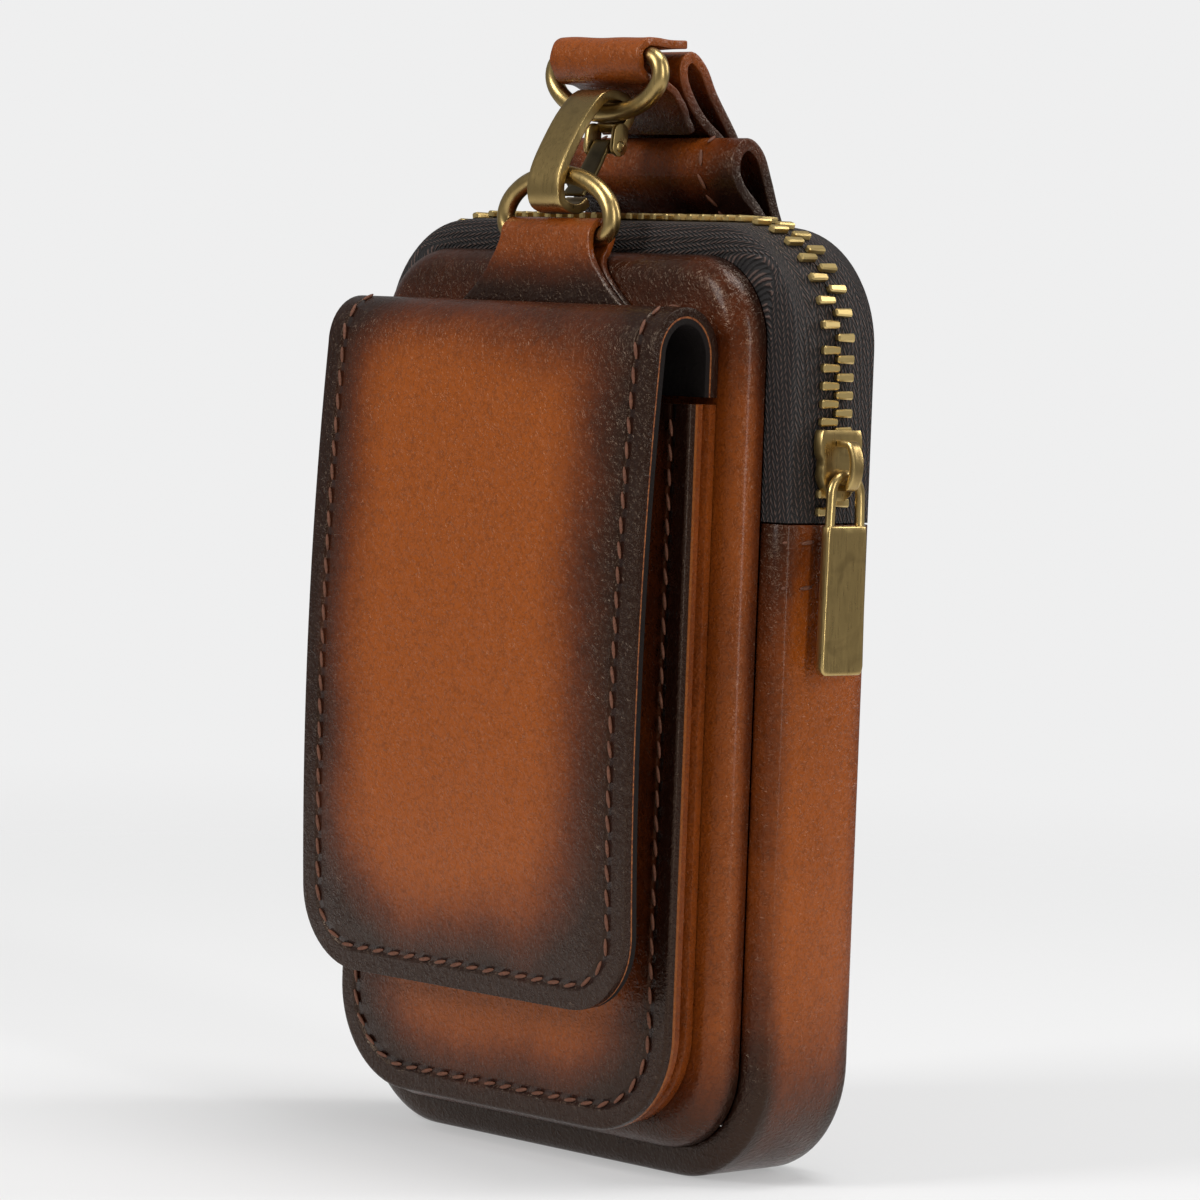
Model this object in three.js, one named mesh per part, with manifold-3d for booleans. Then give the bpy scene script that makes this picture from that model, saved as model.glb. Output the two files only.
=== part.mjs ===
// A small upright leather belt bag: zipped compartment, flap pocket, ring-and-hook hanger and belt loop.
// Millimetres, +Z up. The bag stands on z = 0 and faces -Y. The origin is the centre of its flat base.
import * as THREE from 'three';
import { mergeVertices } from 'three/addons/utils/BufferGeometryUtils.js';
import Module from 'manifold-3d';

const wasm = await Module();
wasm.setup();

// Bag body
const bodyHeight = 164.5;
const panelHalfWidth = 47.6;
const seamDepth = 22.7; // front seam to back seam
const gussetBulge = 5.3; // how far the side band stands proud of the panels' edges
const cornerRadius = 15.5;
const frontRoll = 4.7; // radius of the front panel's rolled rim
const backRoll = 3;
const leatherWall = 2;
const backWall = 2.8; // leather and its backing, behind the belt loop
const tapeWall = 1.2;
const seamGap = 0.3;
const shoulder = 2; // depth of the side band's rounded shoulder
const zipperDrop = 50.5; // height of the zipper's ends below the body's top
const rollEnd = -14; // degrees past the widest line at which a rim meets its seam

// Zipper
const chainY = -0.6;
const toothPitch = 3.05;
const toothWidth = 1.15;
const toothFlank = 0.15;
const toothHeight = 1.3;
const toothBead = 1;
const chainHalf = 3.6;
const toothOverlap = 0.35;
const sliderRise = 10.2; // slider's middle above the zipper's end
const sliderLength = 12;
const sliderHalf = 4.9;
const sliderWaist = 4.6;
const sliderTip = 1.9;
const sliderPlate = 1.2;
const bridgeHalf = 1.25;
const bridgeLength = 8.6;
const bridgeHeight = 4.1;
const bridgeWall = 1.2;
const eyeSeat = 0.7; // room below the pull's wire in the bridge
const pullThickness = 1.8;
const pullHalf = 5;
const pullPlate = 25;
const pullNeckHalf = 4.6;
const pullLoopHalf = 4.3;
const pullWire = 1.7;
const pullEye = 8.2;
const pullBevel = 0.35;
const pullCorner = 1.2;

// Pocket and flap
const pocketHalf = 42.9;
const pocketBottom = 8.3;
const mouthDrop = 7.7; // pocket's mouth below the flap's arch
const pocketDepth = 4.8; // clear depth between the bag and the pocket's front wall
const pocketWall = 2.2;
const pocketBevel = 0.5;
const mouthCorner = 1; // corner radius at the pocket's mouth
const pocketCorner = 18;
const pocketGussetWall = 1.6;
const pocketGroove = 1.3;
const pocketGussetInset = 0.7;
const flapHalf = 42.4;
const flapBottom = 30;
const flapCorner = 14;
const flapArchHeight = 8.6;
const flapDrop = 7.8; // start of the flap's arch below the tab's lower edge
const flapReach = 15.2; // depth of the arch
const flapBow = 4.7; // pull of the front leg's bow
const flapFoot = 0.9; // how far the flap's lower edge stands out from the arch
const flapLeather = 1.5;
const archSteps = 12;
const liningWall = 1;
const flapRearGap = 1.2; // flap's sewn edge above the pocket's mouth

// Tab, rings and hook
const wire = 1.6; // radius of the ring wire
const wireClear = 0.35;
const tabTopHalf = 11.5;
const tabBottomHalf = 21.5;
const tabLength = 9.9; // tab's lower edge below the panels' top edge
const tabLeather = 1.3;
const tabFlare = 2; // how far the flare's curve is pulled out
const flareRise = 0.45; // share of the tab's height at which it is pulled
const crotchRise = 0.28; // share of the tab's height at which its layers part
const rimWrap = 118; // degrees to which the tab follows the rolled rim
const barLift = 2.5; // lower ring's bar above the panels' top edge
const ringHalf = 13.8;
const ringCorner = 3;
const lowerRingRise = 10.8;
const upperRingDrop = 10;
const ringForward = 0.3; // lower ring in front of the front panel's face
const upperRingY = -6.35;
const upperBarRise = 29.1; // above the body's top
const bandThickness = 1.8;
const hookHalf = 4;
const eyeletWall = 1.7;
const eyeletClear = 0.5;
const hookClear = 0.7; // hook above the leather round the lower ring
const pivotBack = 0.2; // gate pivot behind the eyelet's centre
const pivotDrop = 5.8; // gate pivot below the eyelet's centre
const earWall = 1;
const earRadius = 1.7;
const pinRadius = 0.5;
const knuckleRadius = 1.35;
const gateThickness = 1.2;
const gateGap = 0.3;

// Straps
const loopHalf = 22;
const loopLeather = 2.2;
const loopRise = 14.4; // top of the belt loop above the body's top
const loopSlack = 0.3;
const loopForward = 11.2; // reach of the belt loop over the body
const beltGap = 7.1; // centre to centre of the loop's legs where the belt goes
const loopDrop = 72.5;
const hangerHalf = 11.4;
const hangerLeather = 2;
const keeperLeather = 1.5;
const layerGap = 0.3;
const hangerReach = 15.4;
const hangerDrop = 10.8;
const keeperSag = 1.45; // how much deeper the keeper hangs below the bar than it rises above

const panelBottom = gussetBulge;
const panelTop = bodyHeight - gussetBulge;
const gussetEnd = bodyHeight - zipperDrop; // height where the leather band gives way to the zipper
const sliderZ = gussetEnd + sliderRise;
const tabBottom = panelTop - tabLength;
const flapSpring = tabBottom - flapDrop;
const pocketTop = flapSpring - mouthDrop;
const flapRearEnd = pocketTop + flapRearGap;
const seamY = seamDepth / 2;
const frontFace = -seamY - frontRoll * (1 - Math.sin(THREE.MathUtils.degToRad(rollEnd)));
const backFace = seamY + backRoll * (1 - Math.sin(THREE.MathUtils.degToRad(rollEnd)));
const flatHalf = seamY - seamGap - shoulder;

const brown = { color: 0x8c4a1c, roughness: 0.45, metalness: 0 };
const darkBrown = { color: 0x5a2d14, roughness: 0.5, metalness: 0 };
const suede = { color: 0x3b322e, roughness: 0.9, metalness: 0 };
const weave = { color: 0x352b27, roughness: 0.9, metalness: 0 };
const brass = { color: 0xa98c4c, roughness: 0.32, metalness: 1 };

const bag = new THREE.Group();

function addPiece(name, geometry, finish) {
  const mesh = new THREE.Mesh(geometry, new THREE.MeshStandardMaterial(finish));
  mesh.name = name;
  bag.add(mesh);
  return mesh;
}

// Closed bodies from rings of points
function capFaces(ring) {
  const normal = new THREE.Vector3();
  ring.forEach((point, i) => normal.add(point.clone().cross(ring[(i + 1) % ring.length])));
  const u = ring[1].clone().sub(ring[0]).normalize();
  const v = normal.clone().normalize().cross(u);
  const flat = ring.map((point) => new THREE.Vector2(point.dot(u), point.dot(v)));
  return THREE.ShapeUtils.triangulateShape(flat, []).map(([a, b, c]) => {
    const turn = flat[b].clone().sub(flat[a]).cross(flat[c].clone().sub(flat[a]));
    return turn > 0 ? [a, b, c] : [a, c, b];
  });
}

function ringBody(rings, closed = false) {
  const count = rings[0].length;
  const faces = [];
  const spans = closed ? rings.length : rings.length - 1;
  for (let i = 0; i < spans; i += 1) {
    const near = i * count;
    const far = ((i + 1) % rings.length) * count;
    for (let j = 0; j < count; j += 1) {
      const next = (j + 1) % count;
      faces.push([near + j, near + next, far + next], [near + j, far + next, far + j]);
    }
  }
  if (!closed) {
    capFaces(rings[0]).forEach(([a, b, c]) => faces.push([a, c, b]));
    const last = (rings.length - 1) * count;
    capFaces(rings.at(-1)).forEach((face) => faces.push(face.map((k) => last + k)));
  }
  const points = rings.flat();
  const volume = faces.reduce((sum, [a, b, c]) => sum + points[a].dot(points[b].clone().cross(points[c])), 0);
  const outward = volume > 0 ? faces : faces.map(([a, b, c]) => [a, c, b]);
  const geometry = new THREE.BufferGeometry().setFromPoints(points);
  geometry.setIndex(outward.flat());
  return geometry;
}

// Booleans
function solidOf(geometry) {
  const bare = geometry.clone();
  bare.deleteAttribute('normal');
  bare.deleteAttribute('uv');
  const merged = mergeVertices(bare, 1e-4);
  return new wasm.Manifold(new wasm.Mesh({
    numProp: 3,
    vertProperties: new Float32Array(merged.attributes.position.array),
    triVerts: new Uint32Array(merged.index.array),
  }));
}

function geometryOf(solid) {
  const mesh = solid.getMesh();
  const geometry = new THREE.BufferGeometry();
  geometry.setAttribute('position', new THREE.BufferAttribute(mesh.vertProperties, 3));
  geometry.setIndex(new THREE.BufferAttribute(mesh.triVerts, 1));
  return geometry;
}

// Extrusions: a side outline holds (y, z) points and a front outline (x, z) points
const alongX = new THREE.Matrix4().makeBasis(
  new THREE.Vector3(0, 1, 0), new THREE.Vector3(0, 0, 1), new THREE.Vector3(1, 0, 0));
const alongY = new THREE.Matrix4().makeBasis(
  new THREE.Vector3(1, 0, 0), new THREE.Vector3(0, 0, 1), new THREE.Vector3(0, -1, 0));

function sideExtrude(shape, from, to, options = {}) {
  const plain = { depth: to - from, bevelEnabled: false, curveSegments: 8, ...options };
  return new THREE.ExtrudeGeometry(shape, plain).applyMatrix4(alongX).translate(from, 0, 0);
}

function frontExtrude(shape, front, back, options = {}) {
  const plain = { depth: back - front, bevelEnabled: false, curveSegments: 8, ...options };
  return new THREE.ExtrudeGeometry(shape, plain).applyMatrix4(alongY).translate(0, back, 0);
}

// Extrusion options for a chamfer that stays inside the outline
function bevelled(size) {
  return { bevelEnabled: true, bevelSize: size, bevelThickness: size, bevelOffset: -size, bevelSegments: 1 };
}

function circle(y, z, radius, holes = []) {
  const shape = new THREE.Shape().absarc(y, z, radius, 0, 2 * Math.PI, false);
  shape.holes = holes;
  return shape;
}

function smoothLine(rows, steps) {
  const points = rows.map(([y, z]) => new THREE.Vector3(y, z, 0));
  const curve = new THREE.CatmullRomCurve3(points, false, 'centripetal');
  const spans = (rows.length - 1) * steps;
  return Array.from({ length: spans + 1 }, (_, i) => {
    const point = curve.getPoint(i / spans);
    return new THREE.Vector2(point.x, point.y);
  });
}

// The line's points moved to its left by a distance
function shifted(line, distance) {
  return line.map((point, i) => {
    const ahead = line[Math.min(i + 1, line.length - 1)];
    const behind = line[Math.max(i - 1, 0)];
    const way = ahead.clone().sub(behind).normalize();
    return new THREE.Vector2(point.x - way.y * distance, point.y + way.x * distance);
  });
}

function stripShape(line, from, to) {
  return new THREE.Shape([...shifted(line, from), ...shifted(line, to).reverse()]);
}

// Rounded front outlines
function roundedOutline(halfWidth, bottom, top, lowRadius, highRadius, steps = 6) {
  const corners = [
    [halfWidth - highRadius, top - highRadius, highRadius, 0],
    [-halfWidth + highRadius, top - highRadius, highRadius, 1],
    [-halfWidth + lowRadius, bottom + lowRadius, lowRadius, 2],
    [halfWidth - lowRadius, bottom + lowRadius, lowRadius, 3],
  ];
  return corners.flatMap(([x, z, radius, quarter]) => Array.from({ length: steps + 1 }, (_, i) => {
    const angle = (quarter + i / steps) * Math.PI / 2;
    return new THREE.Vector2(x + radius * Math.cos(angle), z + radius * Math.sin(angle));
  }));
}

function panelRing(inset, y) {
  const radius = cornerRadius - inset;
  const halfWidth = panelHalfWidth - inset;
  const outline = roundedOutline(halfWidth, panelBottom + inset, panelTop - inset, radius, radius);
  return outline.map((point) => new THREE.Vector3(point.x, y, point.y));
}

// A hollow leather panel with a rolled rim: side is -1 for the front and 1 for the back
function panel(roll, wall, side) {
  const face = side * (seamY + roll * (1 - Math.sin(THREE.MathUtils.degToRad(rollEnd))));
  const arc = [90, 68, 45, 22, 0, rollEnd];
  const ringAt = (degrees, radius) => {
    const angle = THREE.MathUtils.degToRad(degrees);
    return panelRing(roll - radius * Math.cos(angle), face - side * (roll - radius * Math.sin(angle)));
  };
  const outside = arc.map((degrees) => ringAt(degrees, roll));
  const inside = arc.map((degrees) => ringAt(degrees, roll - wall)).reverse();
  return ringBody([...outside, ...inside]);
}

// The line that the side band follows: from the right end, round the two corners, to the left end
function bandTrack(endZ, crownZ) {
  const up = Math.sign(crownZ - endZ);
  const side = Math.abs(crownZ - endZ) - cornerRadius;
  const turn = cornerRadius * Math.PI / 2;
  const across = 2 * (panelHalfWidth - cornerRadius);
  const length = 2 * side + 2 * turn + across;
  const at = (s) => {
    if (s > length / 2) {
      const mirror = at(length - s);
      return { ...mirror, x: -mirror.x, nx: -mirror.nx };
    }
    if (s < side) {
      return { x: panelHalfWidth, z: endZ + up * s, nx: 1, nz: 0 };
    }
    if (s < side + turn) {
      const angle = (s - side) / cornerRadius;
      return {
        x: panelHalfWidth - cornerRadius * (1 - Math.cos(angle)),
        z: crownZ - up * cornerRadius * (1 - Math.sin(angle)),
        nx: Math.cos(angle),
        nz: up * Math.sin(angle),
      };
    }
    return { x: panelHalfWidth - cornerRadius - (s - side - turn), z: crownZ, nx: 0, nz: up };
  };
  const cornerSteps = 8;
  const turnFrom = (start) => (
    Array.from({ length: cornerSteps + 1 }, (_, i) => start + turn * i / cornerSteps));
  const stations = [0, ...turnFrom(side), ...turnFrom(side + turn + across), length];
  return { at, stations, length };
}

function bandRing(station, section) {
  return section.map(([y, rise]) => (
    new THREE.Vector3(station.x + station.nx * rise, y, station.z + station.nz * rise)));
}

// Half of the band's section, from a seam to the flat: rise over the panels' edge at each depth
function shoulderLine(side, wall) {
  const outerDepth = shoulder - wall;
  return [0, 20, 40, 62, 90].map((degrees) => {
    const angle = THREE.MathUtils.degToRad(degrees);
    return [side * (flatHalf + outerDepth * Math.cos(angle)), (gussetBulge - wall) * Math.sin(angle)];
  });
}

function gusset() {
  const outside = [...shoulderLine(-1, 0), ...shoulderLine(1, 0).reverse()];
  const inside = [...shoulderLine(1, leatherWall), ...shoulderLine(-1, leatherWall).reverse()];
  const track = bandTrack(gussetEnd, panelBottom);
  return ringBody(track.stations.map((s) => bandRing(track.at(s), [...outside, ...inside])));
}

const zipTrack = bandTrack(gussetEnd + seamGap, panelTop);

function tape(side) {
  const edge = chainY + side * seamGap / 2;
  const section = [
    ...shoulderLine(side, 0),
    [edge, gussetBulge],
    [edge, gussetBulge - tapeWall],
    ...shoulderLine(side, tapeWall).reverse(),
  ];
  return ringBody(zipTrack.stations.map((s) => bandRing(zipTrack.at(s), section)));
}

// One row of teeth on its bead: side is -1 for the front tape and 1 for the back
function teeth(side) {
  const low = gussetBulge + seamGap;
  const high = low + toothHeight;
  const root = chainY + side * chainHalf;
  const section = (tip) => [[root, low], [root, high], [tip, high], [tip, low]];
  const bead = section(chainY + side * (chainHalf - toothBead));
  const tooth = section(chainY - side * toothOverlap);
  const rows = Math.floor((zipTrack.length - toothPitch) / toothPitch);
  const first = (zipTrack.length - (rows - 0.5) * toothPitch) / 2 + (side > 0 ? toothPitch / 2 : 0);
  const rings = [bandRing(zipTrack.at(first - toothWidth), bead)];
  for (let i = 0; i < rows; i += 1) {
    const centre = first + i * toothPitch;
    const half = toothWidth / 2;
    rings.push(
      bandRing(zipTrack.at(centre - half - toothFlank), bead),
      bandRing(zipTrack.at(centre - half), tooth),
      bandRing(zipTrack.at(centre + half), tooth),
      bandRing(zipTrack.at(centre + half + toothFlank), bead),
    );
  }
  return ringBody(rings);
}

// Zipper slider and pull on the right side
const tapeX = panelHalfWidth + gussetBulge;
const teethTopX = tapeX + seamGap + toothHeight;
const plateX = teethTopX + seamGap;
const plateTopX = plateX + sliderPlate;
const eyeX = plateTopX + seamGap + pullThickness / 2;
const bridgeBase = sliderZ - bridgeLength / 2;
const eyeZ = bridgeBase + bridgeWall + eyeSeat + pullWire / 2;

function slider() {
  const half = sliderLength / 2;
  const rightSide = [
    [sliderTip, -half],
    [sliderWaist, -half / 3],
    [sliderWaist, half / 6],
    [sliderHalf, half / 3],
    [sliderHalf, half],
  ];
  const points = [...rightSide, ...rightSide.map(([y, z]) => [-y, z]).reverse()];
  const shape = new THREE.Shape(points.map(([y, z]) => new THREE.Vector2(chainY + y, sliderZ + z)));
  const shell = sideExtrude(shape, tapeX + seamGap, plateTopX);
  const channelHalf = chainHalf + seamGap;
  const channel = new THREE.BoxGeometry(plateX - tapeX, 2 * channelHalf, 2 * sliderLength)
    .translate((plateX + tapeX) / 2, chainY, sliderZ);
  const arch = (inset) => {
    const outline = new THREE.Shape();
    const length = bridgeLength / 2 - inset;
    const height = bridgeHeight - inset;
    const centre = plateTopX + height / 2;
    outline.moveTo(plateTopX - sliderPlate / 2, sliderZ - length);
    outline.lineTo(centre, sliderZ - length);
    outline.absellipse(centre, sliderZ, height / 2, length, -Math.PI / 2, Math.PI / 2, false);
    outline.lineTo(plateTopX - sliderPlate / 2, sliderZ + length);
    return outline;
  };
  const bridge = solidOf(frontExtrude(arch(0), chainY - bridgeHalf, chainY + bridgeHalf));
  const eye = solidOf(frontExtrude(arch(bridgeWall), chainY - sliderHalf, chainY + sliderHalf));
  const above = new THREE.BoxGeometry(bridgeHeight, 2 * sliderHalf, sliderLength)
    .translate(plateTopX + bridgeHeight / 2, chainY, sliderZ);
  const loop = bridge.subtract(eye.intersect(solidOf(above)));
  return geometryOf(solidOf(shell).subtract(solidOf(channel)).add(loop));
}

function pull() {
  const top = eyeZ + pullWire / 2;
  const neck = top - pullEye - pullWire;
  const bottom = neck - pullPlate;
  const shape = new THREE.Shape();
  shape.moveTo(chainY - pullHalf + pullCorner, bottom);
  shape.lineTo(chainY + pullHalf - pullCorner, bottom);
  shape.lineTo(chainY + pullHalf, bottom + pullCorner);
  shape.lineTo(chainY + pullNeckHalf, neck);
  shape.absarc(chainY, top - pullLoopHalf, pullLoopHalf, 0, Math.PI, false);
  shape.lineTo(chainY - pullNeckHalf, neck);
  shape.lineTo(chainY - pullHalf, bottom + pullCorner);
  const eyeHalf = pullLoopHalf - pullWire;
  const eye = new THREE.Path();
  eye.absarc(chainY, top - pullWire - eyeHalf, eyeHalf, 0, Math.PI, false);
  eye.lineTo(chainY - eyeHalf, neck + eyeHalf / 2);
  eye.lineTo(chainY - eyeHalf / 2, neck);
  eye.lineTo(chainY + eyeHalf / 2, neck);
  eye.lineTo(chainY + eyeHalf, neck + eyeHalf / 2);
  shape.holes = [eye];
  const half = pullThickness / 2 - pullBevel;
  return sideExtrude(shape, eyeX - half, eyeX + half, bevelled(pullBevel));
}

// Pocket
const pocketBack = frontFace - seamGap;
const pocketInside = pocketBack - pocketDepth;
const pocketFace = pocketInside - pocketWall;

function pocketFront() {
  const outline = roundedOutline(pocketHalf, pocketBottom, pocketTop, pocketCorner, mouthCorner);
  const shape = new THREE.Shape(outline);
  return frontExtrude(shape, pocketFace + pocketBevel, pocketInside - pocketBevel, bevelled(pocketBevel));
}

function pocketGusset() {
  const halfWidth = pocketHalf - pocketGussetInset;
  const bottom = pocketBottom + pocketGussetInset;
  const radius = pocketCorner - pocketGussetInset;
  const depth = pocketDepth - seamGap;
  const folds = [[0, 0], [0.3, 1], [0.5, 1], [0.7, 1], [1, 0]];
  const section = folds.map(([share, groove]) => [pocketBack - share * depth, groove * pocketGroove]);
  const rings = (inset) => section.map(([y, groove]) => {
    const shrink = inset + groove;
    return roundedOutline(halfWidth - shrink, bottom + shrink, pocketTop, radius - shrink, mouthCorner)
      .map((point) => new THREE.Vector3(point.x, y, point.y));
  });
  const full = solidOf(ringBody(rings(0)));
  const mouth = 2 * mouthCorner;
  const room = rings(pocketGussetWall).map((ring) => ring.map((point) => point.clone().setZ(
    point.z > pocketTop - mouth ? pocketTop + mouth : point.z)));
  const stretched = room.map((ring, i) => ring.map((point) => {
    const end = i === 0 ? 1 : i === room.length - 1 ? -1 : 0;
    return point.clone().setY(point.y + end * 2 * seamGap);
  }));
  return geometryOf(full.subtract(solidOf(ringBody(stretched))));
}

// Flap: rear leg up, arch over the pocket's mouth, front leg down
const flapRear = frontFace - seamGap;
const liningFrom = flapLeather + layerGap;

function flapLine() {
  const centre = flapRear - flapReach / 2;
  const arch = Array.from({ length: archSteps + 1 }, (_, i) => {
    const angle = Math.PI * i / archSteps;
    return new THREE.Vector2(
      centre + flapReach / 2 * Math.cos(angle), flapSpring + flapArchHeight * Math.sin(angle));
  });
  const front = centre - flapReach / 2;
  const leg = new THREE.QuadraticBezierCurve(
    new THREE.Vector2(front, flapSpring),
    new THREE.Vector2(front - flapBow, (flapSpring + flapBottom) / 2),
    new THREE.Vector2(front - flapFoot, flapBottom));
  return [new THREE.Vector2(flapRear, flapRearEnd), ...arch, ...leg.getPoints(8).slice(1)];
}

function flapLayer(from, to, inset) {
  const strip = sideExtrude(stripShape(flapLine(), from, to), -flapHalf + inset, flapHalf - inset);
  const outline = roundedOutline(
    flapHalf - inset, flapBottom + inset, flapSpring + 2 * flapArchHeight, flapCorner - inset, mouthCorner);
  const cutter = frontExtrude(new THREE.Shape(outline), flapRear - 3 * flapReach, flapRear + flapReach);
  return geometryOf(solidOf(strip).intersect(solidOf(cutter)));
}

// Tab that holds the lower ring
const ringY = frontFace - ringForward + wire / 2;
const barZ = panelTop + barLift;

function ringTab() {
  const bore = wire + wireClear;
  const outer = bore + tabLeather;
  const rear = frontFace - seamGap;
  const front = rear - 2 * tabLeather - layerGap;
  const crotch = tabBottom + crotchRise * (barZ - tabBottom);
  const rimY = frontFace + frontRoll;
  const rimZ = panelTop - frontRoll;
  const rimRadius = frontRoll + seamGap;
  const rimTurn = THREE.MathUtils.degToRad(rimWrap);
  const shape = new THREE.Shape();
  shape.moveTo(rear, tabBottom);
  shape.absarc(rimY, rimZ, rimRadius, Math.PI, rimTurn, true);
  shape.absarc(ringY, barZ, outer, -Math.PI / 4, Math.PI, false);
  shape.lineTo(front, (tabBottom + barZ) / 2);
  shape.lineTo(front, tabBottom);
  const slot = new THREE.Path();
  slot.absarc(ringY, barZ, bore, 0, Math.PI, false);
  slot.lineTo(front + tabLeather, crotch);
  slot.lineTo(rear - tabLeather, crotch);
  slot.absarc(rimY, rimZ, rimRadius + tabLeather, Math.PI, rimTurn, true);
  shape.holes = [slot];
  const body = sideExtrude(shape, -tabBottomHalf, tabBottomHalf);
  const top = barZ + 2 * outer;
  const foot = tabBottom - seamGap;
  const waist = tabBottom + flareRise * (barZ - tabBottom);
  const neck = barZ - outer / 3;
  const flare = new THREE.Shape();
  flare.moveTo(-tabBottomHalf, foot);
  flare.lineTo(tabBottomHalf, foot);
  flare.quadraticCurveTo(tabTopHalf + tabFlare, waist, tabTopHalf, neck);
  flare.lineTo(tabTopHalf, top);
  flare.lineTo(-tabTopHalf, top);
  flare.lineTo(-tabTopHalf, neck);
  flare.quadraticCurveTo(-tabTopHalf - tabFlare, waist, -tabBottomHalf, foot);
  const cutter = frontExtrude(flare, front - 2 * outer, rear + 2 * outer);
  return geometryOf(solidOf(body).intersect(solidOf(cutter)));
}

// A D-ring standing in the x-z plane: rise is positive for a bow above the bar
function dRing(y, z, rise) {
  const up = Math.sign(rise);
  const line = [];
  const steps = 18;
  for (let i = 0; i <= steps; i += 1) {
    const angle = Math.PI * i / steps;
    line.push(new THREE.Vector2(
      ringHalf * Math.cos(angle), up * (ringCorner + (Math.abs(rise) - ringCorner) * Math.sin(angle))));
  }
  const foot = [[-ringHalf, 0.35, 0.13], [-ringHalf, 1, 0], [ringHalf, 1, 0], [ringHalf, 0.35, 0.13]];
  foot.forEach(([x, inset, lift]) => line.push(
    new THREE.Vector2(x - Math.sign(x) * inset * ringCorner, up * lift * ringCorner)));
  const sides = 10;
  const rings = line.map((point, i) => {
    const way = line[(i + 1) % line.length].clone().sub(line.at(i - 1)).normalize();
    return Array.from({ length: sides }, (_, k) => {
      const angle = 2 * Math.PI * k / sides;
      const out = wire * Math.cos(angle);
      return new THREE.Vector3(point.x + way.y * out, y + wire * Math.sin(angle), z + point.y - way.x * out);
    });
  });
  return ringBody(rings, true);
}

// Hook between the rings
const upperBarZ = bodyHeight + upperBarRise;
const eyeletZ = upperBarZ - upperRingDrop;
const eyeletBore = wire + eyeletClear;
const eyeletRadius = eyeletBore + eyeletWall;
const pivotY = upperRingY + pivotBack;
const pivotZ = eyeletZ - pivotDrop;
const bandHalf = bandThickness / 2;
const bandFront = ringY - wire - 2 * wireClear - bandHalf; // the band's centre line in front of the ring
const bandLow = barZ + wire + wireClear + tabLeather + hookClear + bandHalf;

// The hook's centre line in shares of the way back and up from the band's low front to the eyelet
const hookRows = [
  [0.99, 1.2],
  [0.78, 1.18],
  [0.51, 1.0],
  [0.24, 0.69],
  [0.04, 0.38],
  [0.0, 0.18],
  [0.06, 0.05],
  [0.24, 0.0],
  [0.43, 0.015],
  [0.59, 0.085],
];

function hookLine() {
  return smoothLine(hookRows.map(([back, up]) => [
    bandFront + back * (upperRingY - bandFront), bandLow + up * (eyeletZ - bandLow)]), 3);
}

function hook() {
  const band = solidOf(sideExtrude(stripShape(hookLine(), -bandHalf, bandHalf), -hookHalf, hookHalf));
  const eyelet = solidOf(sideExtrude(circle(upperRingY, eyeletZ, eyeletRadius), -hookHalf, hookHalf));
  const bore = solidOf(sideExtrude(circle(upperRingY, eyeletZ, eyeletBore), -2 * hookHalf, 2 * hookHalf));
  const webTop = eyeletZ - eyeletBore;
  const web = new THREE.Shape([
    new THREE.Vector2(pivotY - earRadius, pivotZ),
    new THREE.Vector2(pivotY + earRadius, pivotZ),
    new THREE.Vector2(pivotY + earRadius, webTop),
    new THREE.Vector2(pivotY - earRadius, webTop),
  ]);
  const ears = [-hookHalf, hookHalf - earWall].flatMap((x) => [
    solidOf(sideExtrude(web, x, x + earWall)),
    solidOf(sideExtrude(circle(pivotY, pivotZ, earRadius), x, x + earWall)),
  ]);
  const pinHalf = hookHalf - earWall / 2;
  const pin = solidOf(sideExtrude(circle(pivotY, pivotZ, pinRadius), -pinHalf, pinHalf));
  const whole = [eyelet, ...ears, pin].reduce((sum, piece) => sum.add(piece), band);
  return geometryOf(whole.subtract(bore));
}

function gate() {
  const tip = hookLine().at(-1);
  const way = tip.clone().sub(hookLine().at(-2)).normalize();
  const corner = new THREE.Vector2(tip.x - way.y * bandHalf, tip.y + way.x * bandHalf);
  const pivot = new THREE.Vector2(pivotY, pivotZ);
  const reach = corner.clone().sub(pivot);
  const lean = Math.asin((gateThickness / 2 + gateGap) / reach.length());
  const along = reach.clone().rotateAround(new THREE.Vector2(), -lean).normalize();
  const end = pivot.clone().addScaledVector(along, reach.length() + gateThickness / 2);
  const across = new THREE.Vector2(-along.y, along.x).multiplyScalar(gateThickness / 2);
  const half = hookHalf - earWall - gateGap;
  const blade = new THREE.Shape([
    pivot.clone().add(across), end.clone().add(across), end.clone().sub(across), pivot.clone().sub(across)]);
  const knuckle = solidOf(sideExtrude(circle(pivotY, pivotZ, knuckleRadius), -half, half));
  const bore = solidOf(sideExtrude(circle(pivotY, pivotZ, pinRadius + gateGap), -hookHalf, hookHalf));
  return geometryOf(solidOf(sideExtrude(blade, -half, half)).add(knuckle).subtract(bore));
}

// Belt loop: centre line in shares of its reach over the body and its rise, and of its gap and its drop
const legY = backFace + layerGap + loopLeather / 2;
const loopRows = {
  frontLeg: [[1, 1], [1, 0.2345], [1, 0.1724], [0.97, 0.1034]],
  over: [[0.82, -0.16], [0.63, 0.08], [0.42, 0.26], [0.16, 0.44], [0.0, 0.66], [0.06, 0.9], [0.25, 1.0],
    [0.5, 0.88], [0.7, 0.56], [0.88, 0.2]],
  rearLeg: [[0.1, 0.0276], [0.45, 0.0966], [0.86, 0.1931], [1, 0.2759], [1, 0.331], [1, 0.7724],
    [0.72, 0.8966], [0.37, 0.9862]],
};

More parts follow.
